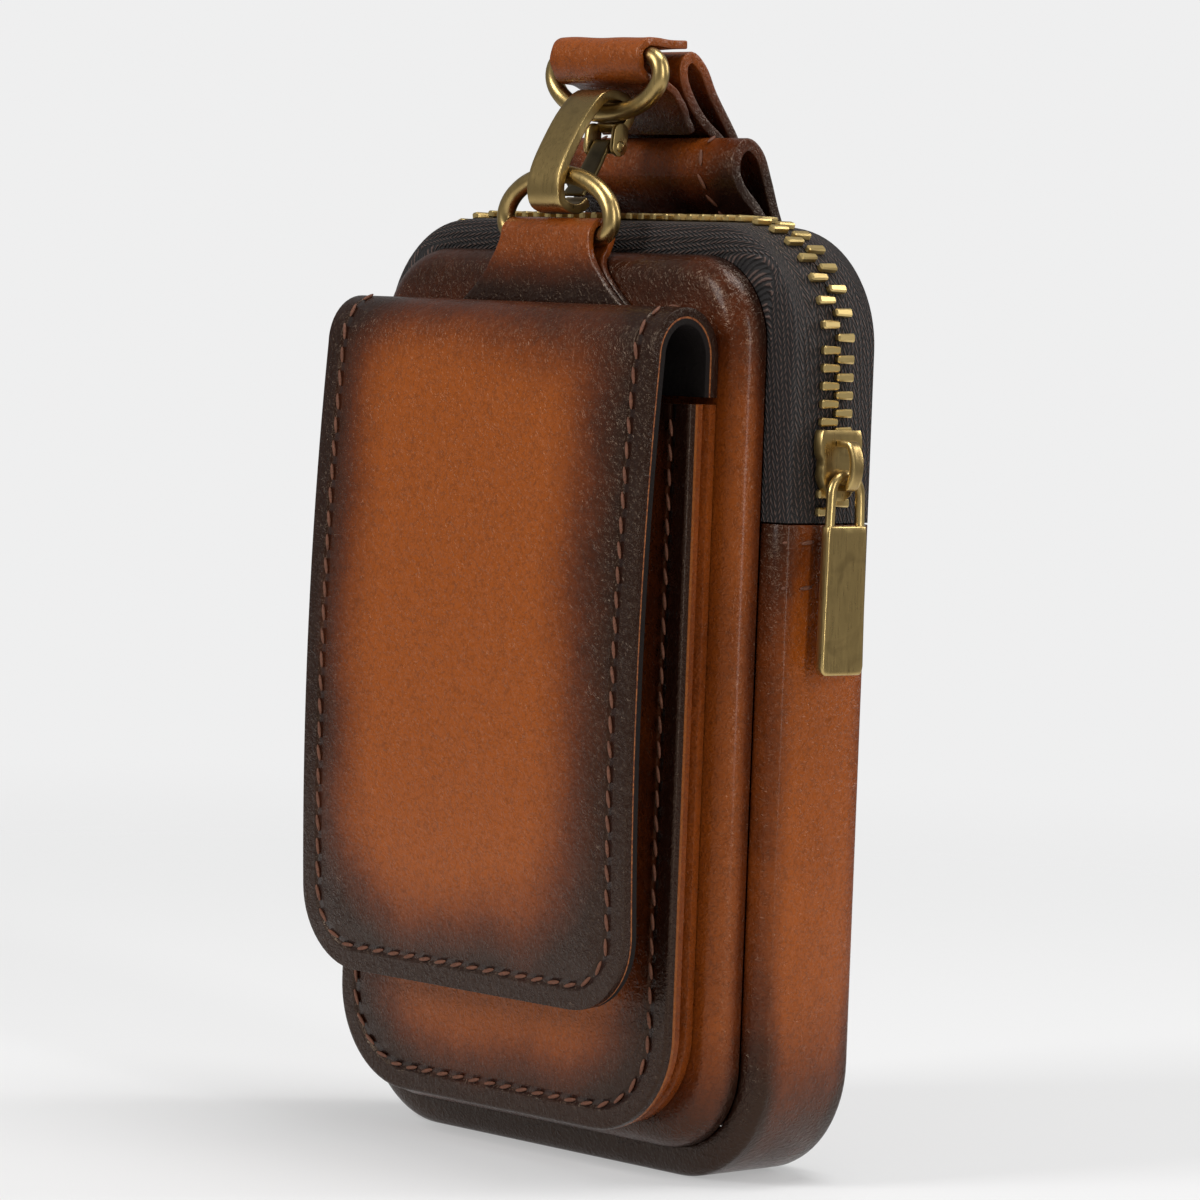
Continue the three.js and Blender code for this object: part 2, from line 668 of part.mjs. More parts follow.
const loopFront = legY - loopSlack - loopForward;
const loopPoints = {
  frontLeg: loopRows.frontLeg.map(([share, drop]) => [
    legY - (1 - share) * loopLeather, bodyHeight - drop * loopDrop]),
  over: loopRows.over.map(([back, up]) => [loopFront + back * loopForward, bodyHeight + up * loopRise]),
  rearLeg: loopRows.rearLeg.map(([share, drop]) => [legY + share * beltGap, bodyHeight - drop * loopDrop]),
};
const loopLine = smoothLine([...loopPoints.frontLeg, ...loopPoints.over, ...loopPoints.rearLeg], 2);

// Hanger: a narrow loop above the belt loop, its two legs lying on the belt loop's back
const crestRows = [
  [0.86, -1],
  [0.66, -0.68],
  [0.53, -0.33],
  [0.526, -0.09],
  [0.64, 0.03],
  [0.82, -0.15],
  [1, -0.57],
];
const crestPoints = (rows) => (
  rows.map(([back, up]) => [upperRingY + back * hangerReach, upperBarZ + up * hangerDrop]));

function hangerLine() {
  const carrier = [...loopPoints.over.slice(-3), ...loopPoints.rearLeg.slice(0, 5)]
    .map(([y, z]) => new THREE.Vector2(y, z));
  const nearGap = loopLeather / 2 + layerGap + hangerLeather / 2;
  const leg = (gap) => shifted(carrier, gap).map((point) => [point.x, point.y]);
  return smoothLine([
    ...leg(nearGap + layerGap / 3).reverse(),
    ...crestPoints(crestRows),
    ...leg(nearGap + hangerLeather + 2 * layerGap),
  ], 2);
}

// Keeper: a strap round the upper ring's bar, its two ends lying on the hanger
const keeperTails = { low: [[0.69, -1.19], [0.47, -0.67], [0.21, -0.4]], high: [[0.34, 0.21], [0.56, 0.21]] };

function keeperLine() {
  const turn = wire + wireClear + keeperLeather / 2;
  const round = [255, 215, 180, 145, 110, 80].map((degrees) => {
    const angle = THREE.MathUtils.degToRad(degrees);
    const sag = degrees > 180 ? keeperSag : 1;
    return [upperRingY + turn * Math.cos(angle), upperBarZ + sag * turn * Math.sin(angle)];
  });
  return smoothLine([...crestPoints(keeperTails.low), ...round, ...crestPoints(keeperTails.high)], 2);
}

function strap(line, thickness, half) {
  return sideExtrude(stripShape(line, -thickness / 2, thickness / 2), -half, half);
}

addPiece('front_panel', panel(frontRoll, leatherWall, -1), brown);
addPiece('back_panel', panel(backRoll, backWall, 1), brown);
addPiece('gusset', gusset(), brown);
addPiece('zipper_tape_front', tape(-1), weave);
addPiece('zipper_tape_back', tape(1), weave);
addPiece('zipper_teeth_front', teeth(-1), brass);
addPiece('zipper_teeth_back', teeth(1), brass);
addPiece('zipper_slider', slider(), brass);
addPiece('zipper_pull', pull(), brass);
addPiece('pocket_front', pocketFront(), brown);
addPiece('pocket_gusset', pocketGusset(), darkBrown);
addPiece('pocket_flap', flapLayer(0, flapLeather, 0), brown);
addPiece('flap_lining', flapLayer(liningFrom, liningFrom + liningWall, layerGap), suede);
addPiece('ring_tab', ringTab(), brown);
addPiece('lower_ring', dRing(ringY, barZ, lowerRingRise), brass);
addPiece('upper_ring', dRing(upperRingY, upperBarZ, -upperRingDrop), brass);
addPiece('hook', hook(), brass);
addPiece('hook_gate', gate(), brass);
addPiece('belt_loop', strap(loopLine, loopLeather, loopHalf), brown);
addPiece('hanger_loop', strap(hangerLine(), hangerLeather, hangerHalf), brown);
addPiece('hanger_keeper', strap(keeperLine(), keeperLeather, hangerHalf), brown);

export default bag;
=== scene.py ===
import math
from math import cos, pi, radians, sin

import bmesh
import bpy
from mathutils import Matrix, Vector, noise


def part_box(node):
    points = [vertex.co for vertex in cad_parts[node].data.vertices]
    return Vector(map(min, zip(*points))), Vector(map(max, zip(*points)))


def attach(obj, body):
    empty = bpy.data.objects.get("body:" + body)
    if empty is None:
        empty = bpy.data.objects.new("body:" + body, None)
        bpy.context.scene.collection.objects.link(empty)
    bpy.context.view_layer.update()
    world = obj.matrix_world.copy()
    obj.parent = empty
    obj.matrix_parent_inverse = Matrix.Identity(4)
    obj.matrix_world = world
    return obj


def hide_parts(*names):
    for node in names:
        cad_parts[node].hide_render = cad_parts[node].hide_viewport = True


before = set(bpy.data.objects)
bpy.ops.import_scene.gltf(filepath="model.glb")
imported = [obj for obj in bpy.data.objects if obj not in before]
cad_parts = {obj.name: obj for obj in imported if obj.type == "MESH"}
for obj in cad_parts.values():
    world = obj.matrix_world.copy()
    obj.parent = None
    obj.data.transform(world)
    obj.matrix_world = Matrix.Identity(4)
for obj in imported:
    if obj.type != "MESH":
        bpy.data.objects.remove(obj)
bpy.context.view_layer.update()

MM = 0.001

# Sizes from the frame
front_low, front_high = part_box("front_panel")
back_low, back_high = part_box("back_panel")
_, band_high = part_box("gusset")
pocket_low, pocket_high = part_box("pocket_front")
fold_low, fold_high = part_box("pocket_gusset")
flap_low, flap_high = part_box("pocket_flap")
tab_low, tab_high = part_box("ring_tab")
low_ring_low, low_ring_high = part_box("lower_ring")
top_ring_low, top_ring_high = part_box("upper_ring")
hook_low, hook_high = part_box("hook")
gate_low, gate_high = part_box("hook_gate")
_, loop_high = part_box("belt_loop")
_, hanger_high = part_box("hanger_loop")
_, keeper_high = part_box("hanger_keeper")
slider_low, slider_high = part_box("zipper_slider")
pull_low, pull_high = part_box("zipper_pull")

PANEL_HALF = front_high.x
PANEL_TOP = front_high.z
PANEL_CORNER = 15.5 * MM
ROLL_RATIO = 1 + sin(radians(14))
FRONT_ROLL = (front_high.y - front_low.y) / ROLL_RATIO
BACK_ROLL = (back_high.y - back_low.y) / ROLL_RATIO
BULGE = band_high.x - PANEL_HALF
SHOULDER = 2.0 * MM
BAND_CROWN = 0.55 * MM
BAND_CUTS = [30 * MM, 60 * MM, 90 * MM, 130 * MM]
CROWN_FROM = 7 * MM
CROWN_FADE = 16 * MM
PANEL_PADDING = [(2.5 * MM, 0.1 * MM), (6 * MM, 0.15 * MM)]
SEAM_LIP = 0.35 * MM
CORNER_STEPS = 20
ROLL_STEPS = 9
SHOULDER_STEPS = 8
BODY_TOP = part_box("zipper_tape_front")[1].z
GAP = 0.3 * MM
LEATHER_WALL = 2 * MM
TAPE_WALL = 1.2 * MM

# Zipper
CHAIN_Y = (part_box("zipper_teeth_front")[0].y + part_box("zipper_teeth_back")[1].y) / 2
PITCH = 3.05 * MM
TOOTH_WIDE = 1.5 * MM
TOOTH_HIGH = 1.3 * MM
CHAIN_HALF = 3.7 * MM
TOOTH_BEVEL = 0.3 * MM
TOOTH_TAPER = 0.82
SLIDER_SETBACK = 2.6 * MM
SLIDER_SIDE = 1.9 * MM
SLIDER_WALL = 0.9 * MM
BRIDGE_HALF = 4.3 * MM
BRIDGE_STEPS = 16
BRIDGE_WALL = 1.1 * MM
BRIDGE_FOOT = 1.5 * MM
BRIDGE_WIDE = 1.25 * MM
SLIDER_ROWS = [(-1, 0.22, 0), (-0.86, 0.5, 0.1), (-0.6, 0.74, 0.2), (-0.3, 0.9, 0.25), (-0.05, 0.86, 0.3),
               (0.15, 0.84, 0.3), (0.32, 0.98, 0.25), (0.6, 1, 0.2), (0.86, 0.97, 0.1), (1, 0.9, 0)]
PULL_ROWS = [(0.2, 0.986), (0.4, 0.972), (0.6, 0.958), (0.8, 0.944), (0.96, 0.9328)]
PULL_PLATE = 25 * MM
PULL_WALL = 1.9 * MM
PULL_WIRE = 0.85 * MM
PULL_EYE = 4.3 * MM

# Pocket
POCKET_CORNER = 18 * MM
POCKET_CUT = pocket_high.z + POCKET_CORNER
POCKET_ROLL = 0.7 * MM
POCKET_PADDING = [(2.9 * MM, -0.12 * MM), (1.4 * MM, -0.1 * MM), (1.2 * MM, 0.25 * MM), (3 * MM, 0.2 * MM)]
FOLD_CORNER = 17.3 * MM
FOLD_LEATHER = 1.3 * MM

# Flap
FLAP_SEWN = 135 * MM
FLAP_PUFF = 0.45 * MM
FLAP_REAR = front_low.y - GAP
FLAP_REACH = 15.2 * MM
FLAP_SPRING = 141.5 * MM
FLAP_ARCH = flap_high.z - FLAP_SPRING
FLAP_BOW = 4.7 * MM
FLAP_FOOT = 0.9 * MM
FLAP_CORNER = 14 * MM
FLAP_LEATHER = 1.5 * MM
CORE_WALL = 0.4 * MM
LINING_FROM = 1.85 * MM
LINING_WALL = 1.0 * MM

# Tab, rings and hook
RING_Y = (low_ring_low.y + low_ring_high.y) / 2
WIRE = 1.6 * MM
BAR_Z = low_ring_low.z + WIRE
TAB_WALL = 1.3 * MM
WIRE_CLEAR = 0.35 * MM
TOP_RING_Y = (top_ring_low.y + top_ring_high.y) / 2
TOP_BAR_Z = top_ring_high.z - WIRE
EYELET_Z = top_ring_low.z + WIRE
PIN_Y = TOP_RING_Y + 0.2 * MM
PIN_Z = EYELET_Z - 5.8 * MM
BAND_HALF = 0.9 * MM
RING_CORNER = 3 * MM
BOW_STEPS = 48
BEND_STEPS = 6
HOOK_CURL = 2.95 * MM
EAR_RADIUS = 1.75 * MM
GATE_WALL = 0.7 * MM
KNUCKLE = 0.95 * MM
BAND_FRONT = hook_low.y + BAND_HALF
BAND_LOW = hook_low.z + BAND_HALF
HOOK_LINE = [(0.78, 1.18), (0.51, 1.0), (0.24, 0.69), (0.04, 0.38), (0.0, 0.18), (0.06, 0.05), (0.24, 0.0),
             (0.43, 0.015), (0.59, 0.085)]

# Straps
LOOP_LEATHER = 2.2 * MM
HANGER_LEATHER = 2.0 * MM
KEEPER_LEATHER = 1.5 * MM
LEG_Y = back_high.y + GAP + LOOP_LEATHER / 2
LOOP_FORWARD = 11.2 * MM
LOOP_RISE = loop_high.z - LOOP_LEATHER / 2 - BODY_TOP
BELT_GAP = 7.1 * MM
HANGER_REACH = 15.4 * MM
HANGER_DROP = 10.8 * MM
FRONT_LEG = [(1, -72.5), (1, -17), (1, -12.5), (0.97, -7.5)]
OVER = [(0.82, -0.16), (0.63, 0.08), (0.42, 0.26), (0.16, 0.44), (0.0, 0.66), (0.06, 0.9), (0.25, 1.0),
        (0.5, 0.88), (0.7, 0.56), (0.88, 0.2)]
REAR_LEG = [(0.1, -2), (0.45, -7), (0.86, -14), (1, -20), (1, -24), (1, -56), (0.72, -65), (0.37, -71.5)]
CREST = [(0.86, -1), (0.66, -0.68), (0.53, -0.33), (0.526, -0.09), (0.64, 0.03), (0.82, -0.15), (1, -0.57)]
KEEPER_LOW = [(0.69, -1.19), (0.47, -0.67), (0.21, -0.4)]
KEEPER_HIGH = [(0.34, 0.21), (0.56, 0.21)]

# Stitches
STITCH = 3.1 * MM
STITCH_PITCH = 4.2 * MM
THREAD_RADIUS = 0.37 * MM
SEAM_INSET = 4.3 * MM

# Camera and floor
CAMERA_TARGET = Vector((24.7, -26.36, 99.61)) * MM
CAMERA_DISTANCE = 883.2 * MM
CAMERA_AZIMUTH = radians(47.07)
CAMERA_RISE = radians(3.316)
CAMERA_ROLL = radians(2.09)
FOCAL_PIXELS = 5164.6
IMAGE_WIDE = 1200
BACKDROP = (0.862, 0.862, 0.864, 1)
FLOOR_TONE = 0.46
FLOOR_GLOW = 0.36
FLOOR_FADE = 0.22
FLOOR_END = 0.75


# Modelling helpers
def clear_selection():
    if bpy.context.object and bpy.context.object.mode != "OBJECT":
        bpy.ops.object.mode_set(mode="OBJECT")
    bpy.ops.object.select_all(action="DESELECT")


def pick(piece):
    clear_selection()
    bpy.context.view_layer.objects.active = piece
    piece.select_set(True)


def link(thing):
    bpy.context.scene.collection.objects.link(thing)


def named(name):
    piece = bpy.context.object
    piece.name = name
    piece.data.name = name
    return piece


def modify(piece, kind, **settings):
    pick(piece)
    modifier = piece.modifiers.new(kind.lower(), kind)
    for key, value in settings.items():
        setattr(modifier, key, value)
    bpy.ops.object.modifier_apply(modifier=modifier.name)


def edit(piece):
    """Enters edit mode with the whole piece selected."""
    pick(piece)
    bpy.ops.object.mode_set(mode="EDIT")
    bpy.ops.mesh.select_all(action="SELECT")


def leave_edit():
    bpy.ops.object.mode_set(mode="OBJECT")


def apply_place():
    bpy.ops.object.transform_apply(location=True, rotation=True, scale=True)


def cut(axis, distance, **settings):
    """In edit mode, cuts the whole piece across Y (1) or Z (2) at a distance."""
    place, normal = [0, 0, 0], [0, 0, 0]
    place[axis] = distance
    normal[axis] = 1
    bpy.ops.mesh.select_all(action="SELECT")
    bpy.ops.mesh.bisect(plane_co=place, plane_no=normal, **settings)


def extrude(move):
    bpy.ops.mesh.extrude_region_move(TRANSFORM_OT_translate={"value": move})


def select_where(piece, part, test):
    """In edit mode, selects the verts, edges or faces that pass the test."""
    bpy.ops.mesh.select_all(action="DESELECT")
    modes = {"verts": "VERT", "edges": "EDGE", "faces": "FACE"}
    bpy.ops.mesh.select_mode(type=modes[part])
    mesh = bmesh.from_edit_mesh(piece.data)
    for item in getattr(mesh, part):
        if test(item):
            item.select_set(True)
    bmesh.update_edit_mesh(piece.data)


def move_points(piece, place):
    """Moves every vertex to place(point)."""
    for vertex in piece.data.vertices:
        vertex.co = place(vertex.co.copy())
    piece.data.update()


def round_edges(piece, width, segments=3, angle=50):
    limit = radians(angle)
    modify(piece, "BEVEL", width=width, segments=segments, limit_method="ANGLE", angle_limit=limit)


def finish_piece(piece, body, node, materials, smooth=40):
    pick(piece)
    apply_place()
    bpy.ops.object.shade_smooth_by_angle(angle=radians(smooth))
    piece.data.materials.clear()
    for material in materials:
        piece.data.materials.append(material)
    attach(piece, body)
    if node:
        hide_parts(node)


def join(pieces, name):
    pick(pieces[0])
    for piece in pieces:
        piece.select_set(True)
    bpy.ops.object.join()
    return named(name)


def spread(rows, origin, size):
    """Points given as shares of a size, as (y, z) from an origin."""
    return [Vector((origin[0] + back * size[0], origin[1] + up * size[1])) for back, up in rows]


def arc(centre, radius, degrees):
    """Points round a centre, as (y, z), at angles from the first axis."""
    turns = [radians(angle) for angle in degrees]
    return [Vector(centre) + radius * Vector((cos(turn), sin(turn))) for turn in turns]


def strip_sheet(name, rows, cuts, outward):
    """A sheet that starts as an edge across X and is extruded row by row: a row is y, z and half its width.
    outward is the (y, z) way that its first face looks."""
    clear_selection()
    y, z, half = rows[0]
    bpy.ops.mesh.primitive_plane_add(size=2 * half, location=(0, y, z))
    piece = named(name)
    apply_place()
    edit(piece)
    select_where(piece, "verts", lambda vert: vert.co.y > y)
    bpy.ops.mesh.delete(type="VERT")
    bpy.ops.mesh.select_all(action="SELECT")
    bpy.ops.transform.translate(value=(0, half, 0))
    bpy.ops.mesh.subdivide(number_cuts=cuts)
    bpy.ops.mesh.select_mode(type="EDGE")
    bpy.ops.mesh.select_all(action="SELECT")
    for (y0, z0, half0), (y1, z1, half1) in zip(rows, rows[1:]):
        extrude((0, y1 - y0, z1 - z0))
        if abs(half1 - half0) > 1e-7:
            bpy.ops.transform.resize(value=(half1 / half0, 1, 1), center_override=(0, y1, z1))
    leave_edit()
    first = piece.data.polygons[0].normal
    if first.y * outward[0] + first.z * outward[1] < 0:
        turn_over(piece)
    return piece


def turn_over(piece):
    edit(piece)
    bpy.ops.mesh.flip_normals()
    leave_edit()


def thicken(piece, thickness, offset=-1, inner=0, rim=0):
    """Gives a sheet its wall: inner and rim are the material slots of its inside and its edge."""
    modify(piece, "SOLIDIFY", thickness=thickness, offset=offset, use_even_offset=True,
           material_offset=inner, material_offset_rim=rim)


def spare_slots(piece, count=3):
    for _ in range(count):
        piece.data.materials.append(plain)


def rounded_slab(name, half, low, high, radius, front, back, segments=CORNER_STEPS):
    """A block with its four corners rounded about Y."""
    clear_selection()
    bpy.ops.mesh.primitive_cube_add(size=1, location=(0, (front + back) / 2, (low + high) / 2))
    piece = named(name)
    piece.scale = (2 * half, back - front, high - low)
    apply_place()
    edit(piece)
    length = back - front
    select_where(piece, "edges", lambda edge: abs(edge.verts[0].co.y - edge.verts[1].co.y) > 0.5 * length)
    bpy.ops.mesh.bevel(offset=radius, segments=segments, affect="EDGES")
    leave_edit()
    return piece


def step_face(piece, side, steps, drop):
    """Insets the slab's face on one side of Y and moves it, step by step. With drop, the last face goes."""
    edit(piece)
    limit = max(side * vertex.co.y for vertex in piece.data.vertices) - 1e-6
    select_where(piece, "faces", lambda face: all(side * vert.co.y >= limit for vert in face.verts))
    for inset, move in steps:
        if inset:
            bpy.ops.mesh.inset(thickness=inset, depth=0, use_even_offset=True)
        else:
            bpy.ops.mesh.extrude_region_move()
        bpy.ops.transform.translate(value=(0, side * move, 0))
    if drop:
        bpy.ops.mesh.delete(type="FACE")
    leave_edit()


def quarter(width, height, count):
    """Steps of a quarter ellipse that goes in by width while it rises by height."""
    turns = [pi / 2 * i / count for i in range(count + 1)]
    points = [(width * (1 - cos(turn)), height * sin(turn)) for turn in turns]
    return [(b[0] - a[0], b[1] - a[1]) for a, b in zip(points, points[1:])]


def centripetal(points, steps):
    """A smooth line through the points, as a centripetal Catmull-Rom curve."""
    first = 2 * points[0] - points[1]
    last = 2 * points[-1] - points[-2]
    chain = [first, *points, last]
    line = []
    for p0, p1, p2, p3 in zip(chain, chain[1:], chain[2:], chain[3:]):
        d0, d1, d2 = (math.sqrt((b - a).length) for a, b in ((p0, p1), (p1, p2), (p2, p3)))
        t1 = ((p1 - p0) / d0 - (p2 - p0) / (d0 + d1) + (p2 - p1) / d1) * d1
        t2 = ((p2 - p1) / d1 - (p3 - p1) / (d1 + d2) + (p3 - p2) / d2) * d1
        for i in range(steps):
            t = i / steps
            square = 3 * (p2 - p1) - 2 * t1 - t2
            cube = 2 * (p1 - p2) + t1 + t2
            line.append(p1 + t1 * t + square * t ** 2 + cube * t ** 3)
    return [*line, points[-1]]


def shifted(line, distance):
    """The line's points moved to its left by a distance."""
    moved = []
    for i, point in enumerate(line):
        way = (line[min(i + 1, len(line) - 1)] - line[max(i - 1, 0)]).normalized()
        moved.append(point + Vector((-way.y, way.x)) * distance)
    return moved


class Route:
    """A line that is walked by its length."""

    def __init__(self, points):
        self.points = points
        self.marks = [0]
        for a, b in zip(points, points[1:]):
            self.marks.append(self.marks[-1] + (b - a).length)
        self.length = self.marks[-1]

    def at(self, s):
        """The point at a length and the way the line goes there."""
        s = min(max(s, 0), self.length)
        i = next((k for k in range(1, len(self.marks) - 1) if self.marks[k] >= s), len(self.marks) - 1)
        a, b = self.points[i - 1], self.points[i]
        share = (s - self.marks[i - 1]) / max(self.marks[i] - self.marks[i - 1], 1e-9)
        return a.lerp(b, share), (b - a).normalized()

    def steps(self, pitch):
        """Points and ways in the middle of each whole pitch."""
        return [self.at((k + 0.5) * pitch) for k in range(int(self.length / pitch))]


def wire_piece(name, points, radius, closed):
    """A round wire along a line of points."""
    clear_selection()
    curve = bpy.data.curves.new(name, "CURVE")
    curve.dimensions = "3D"
    curve.bevel_depth = radius
    curve.bevel_resolution = 6
    curve.use_fill_caps = not closed
    spline = curve.splines.new("POLY")
    spline.points.add(len(points) - 1)
    for target, point in zip(spline.points, points):
        target.co = (*point, 1)
    spline.use_cyclic_u = closed
    piece = bpy.data.objects.new(name, curve)
    link(piece)
    pick(piece)
    bpy.ops.object.convert(target="MESH")
    return named(name)


# Shader helpers
class Sum:
    """A shader socket that takes part in sums."""

    def __init__(self, finish, socket):
        self.finish = finish
        self.socket = socket

    def math(self, operation, other=None, swap=False):
        terms = [self, other] if not swap else [other, self]
        inputs = {i: term for i, term in enumerate(terms) if term is not None}
        return self.finish.node("ShaderNodeMath", {"operation": operation}, inputs)

    def __add__(self, other):
        return self.math("ADD", other)

    def __sub__(self, other):
        return self.math("SUBTRACT", other)

    def __rsub__(self, other):
        return self.math("SUBTRACT", other, swap=True)

    def __mul__(self, other):
        return self.math("MULTIPLY", other)

    def __truediv__(self, other):
        return self.math("DIVIDE", other)

    def __abs__(self):
        return self.math("ABSOLUTE")

    __radd__ = __add__
    __rmul__ = __mul__

    def most(self, other):
        return self.math("MAXIMUM", other)

    def least(self, other):
        return self.math("MINIMUM", other)

    def wave(self, length):
        """A sine of this wavelength, from 0 to 1."""
        return (self * (2 * pi / length)).math("SINE") * 0.5 + 0.5

    def ramp(self, low, high):
        """0 at low and 1 at high, smoothly."""
        return self.finish.node("ShaderNodeMapRange", {"interpolation_type": "SMOOTHSTEP"},
                                {"Value": self, "From Min": low, "From Max": high})


class Finish:
    """A material under construction, which may start from one that is already made."""

    def __init__(self, name, material=None):
        self.material = material or bpy.data.materials.new(name)
        self.material.use_nodes = True
        self.tree = self.material.node_tree
        self.shader = self.tree.nodes["Principled BSDF"]
        self.coords = self.node("ShaderNodeTexCoord", output="Object")

    def node(self, kind, settings=None, inputs=None, output=0):
        """Adds a node with its settings, then the values or links of its sockets, and gives one output."""
        node = self.tree.nodes.new(kind)
        for key, value in (settings or {}).items():
            setattr(node, key, value)
        for key, value in (inputs or {}).items():
            self.feed(node, key, value)
        return Sum(self, node.outputs[output])

    def feed(self, node, key, value):
        """Links a socket to a sum or gives it a plain value."""
        if isinstance(value, Sum):
            self.tree.links.new(value.socket, node.inputs[key])
        else:
            node.inputs[key].default_value = value

    def axes(self, source=None):
        split = self.node("ShaderNodeSeparateXYZ", inputs={0: source or self.coords})
        outputs = split.socket.node.outputs
        return [Sum(self, outputs[i]) for i in range(3)]

    def noise(self, scale, detail=2.0, distortion=0.0, stretch=None):
        vector = self.coords
        if stretch:
            vector = self.node("ShaderNodeMapping", inputs={"Vector": vector, "Scale": stretch})
        return self.node("ShaderNodeTexNoise", inputs={
            "Vector": vector, "Scale": scale, "Detail": detail, "Distortion": distortion})

    def cells(self, scale):
        return self.node("ShaderNodeTexVoronoi", {"feature": "SMOOTH_F1"},
                         {"Vector": self.coords, "Scale": scale}, output="Distance")

    def mix(self, share, first, second):
        """A colour mix: share 0 gives the first."""
        return self.node("ShaderNodeMix", {"data_type": "RGBA"}, {0: share, 6: first, 7: second}, 2)

    def bump(self, height, distance, strength=1.0):
        return self.node("ShaderNodeBump", inputs={
            "Height": height, "Distance": distance, "Strength": strength}, output="Normal")

    def done(self, color, roughness, normal, **fixed):
        self.feed(self.shader, "Base Color", color)
        self.feed(self.shader, "Roughness", roughness)
        if normal:
            self.feed(self.shader, "Normal", normal)
        for key, value in fixed.items():
            self.feed(self.shader, key.replace("_", " "), value)
        return self.material


def srgb(red, green, blue):
    def linear(part):
        part /= 255
        return part / 12.92 if part <= 0.04045 else ((part + 0.055) / 1.055) ** 2.4
    return (linear(red), linear(green), linear(blue), 1)


plain = bpy.data.materials.new("plain")

COGNAC = srgb(150, 74, 20)
CHESTNUT = srgb(98, 42, 12)
# Darkest brown: the dark end of the burnish and painted shade ramps, and the colour of pores and edge lines.
DARK_BROWN = srgb(34, 15, 8)
NEAR_BLACK = srgb(14, 10, 9)
TAN = srgb(160, 92, 38)
RAW_TAN = srgb(132, 80, 50)
THREAD = srgb(112, 66, 42)
WARM_SHEEN = (1.0, 0.74, 0.52, 1)


def rounded_edge(finish, half, low, high, low_radius, high_radius):
    """How far inside a rounded outline, seen from the front, a point is."""
    x, _, z = finish.axes()
    radius = (z - (low + high) / 2).ramp(-0.02, 0.02) * (high_radius - low_radius) + low_radius
    across = abs(x) - half + radius
    upright = abs(z - (low + high) / 2) - (high - low) / 2 + radius
    corner = across.most(0) * across.most(0) + upright.most(0) * upright.most(0)
    return radius - corner.math("SQRT") - across.most(upright).least(0)


def leather_relief(finish):
    """Fine worm-like grain with pores, from about 0 to 2."""
    worms = abs(finish.noise(900, 2.0, 1.2) - 0.5) * 5
    pebbles = finish.cells(1300)
    broad = finish.noise(170, 2.0, 0.3)
    return worms.least(1) * 0.5 + pebbles * 0.6 + broad * 0.8


def burnished(name, burnish_and_shade, gloss=0.3, relief=0.15, groove=None):
    """Hand-rubbed leather. The darkening function given is 0 where the leather is lightest and 1 where it is
    darkest; on some parts it holds painted shade as well as burnish.
    """
    finish = Finish(name)
    cloud = finish.noise(48, 3.0, 0.4)
    mottle = finish.noise(420, 3.0, 0.5)
    mask = burnish_and_shade(finish) + (cloud - 0.5) * 0.42 + (mottle - 0.5) * 0.16
    warm = finish.mix(mask.ramp(0.0, 0.7), COGNAC, CHESTNUT)
    color = finish.mix(mask.ramp(0.35, 1.0), warm, DARK_BROWN)
    pores = abs(finish.noise(620, 2.0, 0.9) - 0.5).ramp(0.0, 0.05)
    color = finish.mix((1 - pores) * 0.28, color, DARK_BROWN)
    height = leather_relief(finish)
    if groove:
        height = height - groove(finish) * 3.2
    polish = mask.least(1).most(0) * 0.05
    roughness = finish.noise(260, 2.0, 0.2) * 0.22 + (gloss - 0.11) - polish
    normal = finish.bump(height, relief * MM)
    return finish.done(color, roughness, normal, Coat_Weight=0.14, Coat_Roughness=0.16,
                       Specular_IOR_Level=0.3, Specular_Tint=WARM_SHEEN)


def brushed_brass(name, tone=srgb(174, 148, 96), dark=srgb(88, 70, 42), stretch=(1, 1, 0.08), rough=0.3):
    finish = Finish(name)
    brush = finish.noise(2600, 2.0, 0.0, stretch=stretch)
    patina = finish.noise(190, 4.0, 0.8)
    wear = finish.node("ShaderNodeNewGeometry", output="Pointiness").ramp(0.5, 0.62)
    stained = finish.mix(patina.ramp(0.45, 0.7) * 0.4, tone, dark)
    color = finish.mix(wear * 0.7, stained, srgb(226, 198, 132))
    roughness = brush * 0.2 + patina * 0.14 + (rough - 0.16)
    height = brush * 0.5 + patina * 0.4
    return finish.done(color, roughness, finish.bump(height, 0.03 * MM, 0.8), Metallic=1.0)


def edge_paint(name, color=NEAR_BLACK, rough=0.28, spread=0.3):
    finish = Finish(name)
    rub = finish.noise(500, 3.0, 0.4)
    shade = finish.mix(rub.ramp(0.5, 0.75) * spread, color, CHESTNUT)
    normal = finish.bump(finish.noise(1500, 2.0), 0.06 * MM)
    return finish.done(shade, rub * 0.25 + rough, normal, Coat_Weight=0.2)


def raw_edge(name, color=RAW_TAN):
    finish = Finish(name)
    fibre = finish.noise(1900, 4.0, 0.6)
    shade = finish.mix(fibre.ramp(0.35, 0.7), color, CHESTNUT)
    return finish.done(shade, fibre * 0.2 + 0.6, finish.bump(fibre, 0.25 * MM))


# The lining suede's near-black colour is partly painted shade: it is darkened to stand for the shade inside
# the flap's arch.
def suede(name, color=srgb(16, 12, 11)):
    finish = Finish(name)
    nap = finish.noise(1700, 4.0, 0.5)
    patch = finish.noise(160, 2.0)
    shade = finish.mix(nap * 0.5 + patch * 0.3, color, srgb(34, 27, 24))
    return finish.done(shade, nap * 0.1 + 0.82, finish.bump(nap, 0.2 * MM), Specular_IOR_Level=0.2)


def thread(name):
    finish = Finish(name)
    ply = finish.noise(2400, 2.0, 1.2)
    shade = finish.mix(ply.ramp(0.35, 0.7), THREAD, srgb(84, 46, 26))
    return finish.done(shade, ply * 0.2 + 0.55, finish.bump(ply, 0.12 * MM))


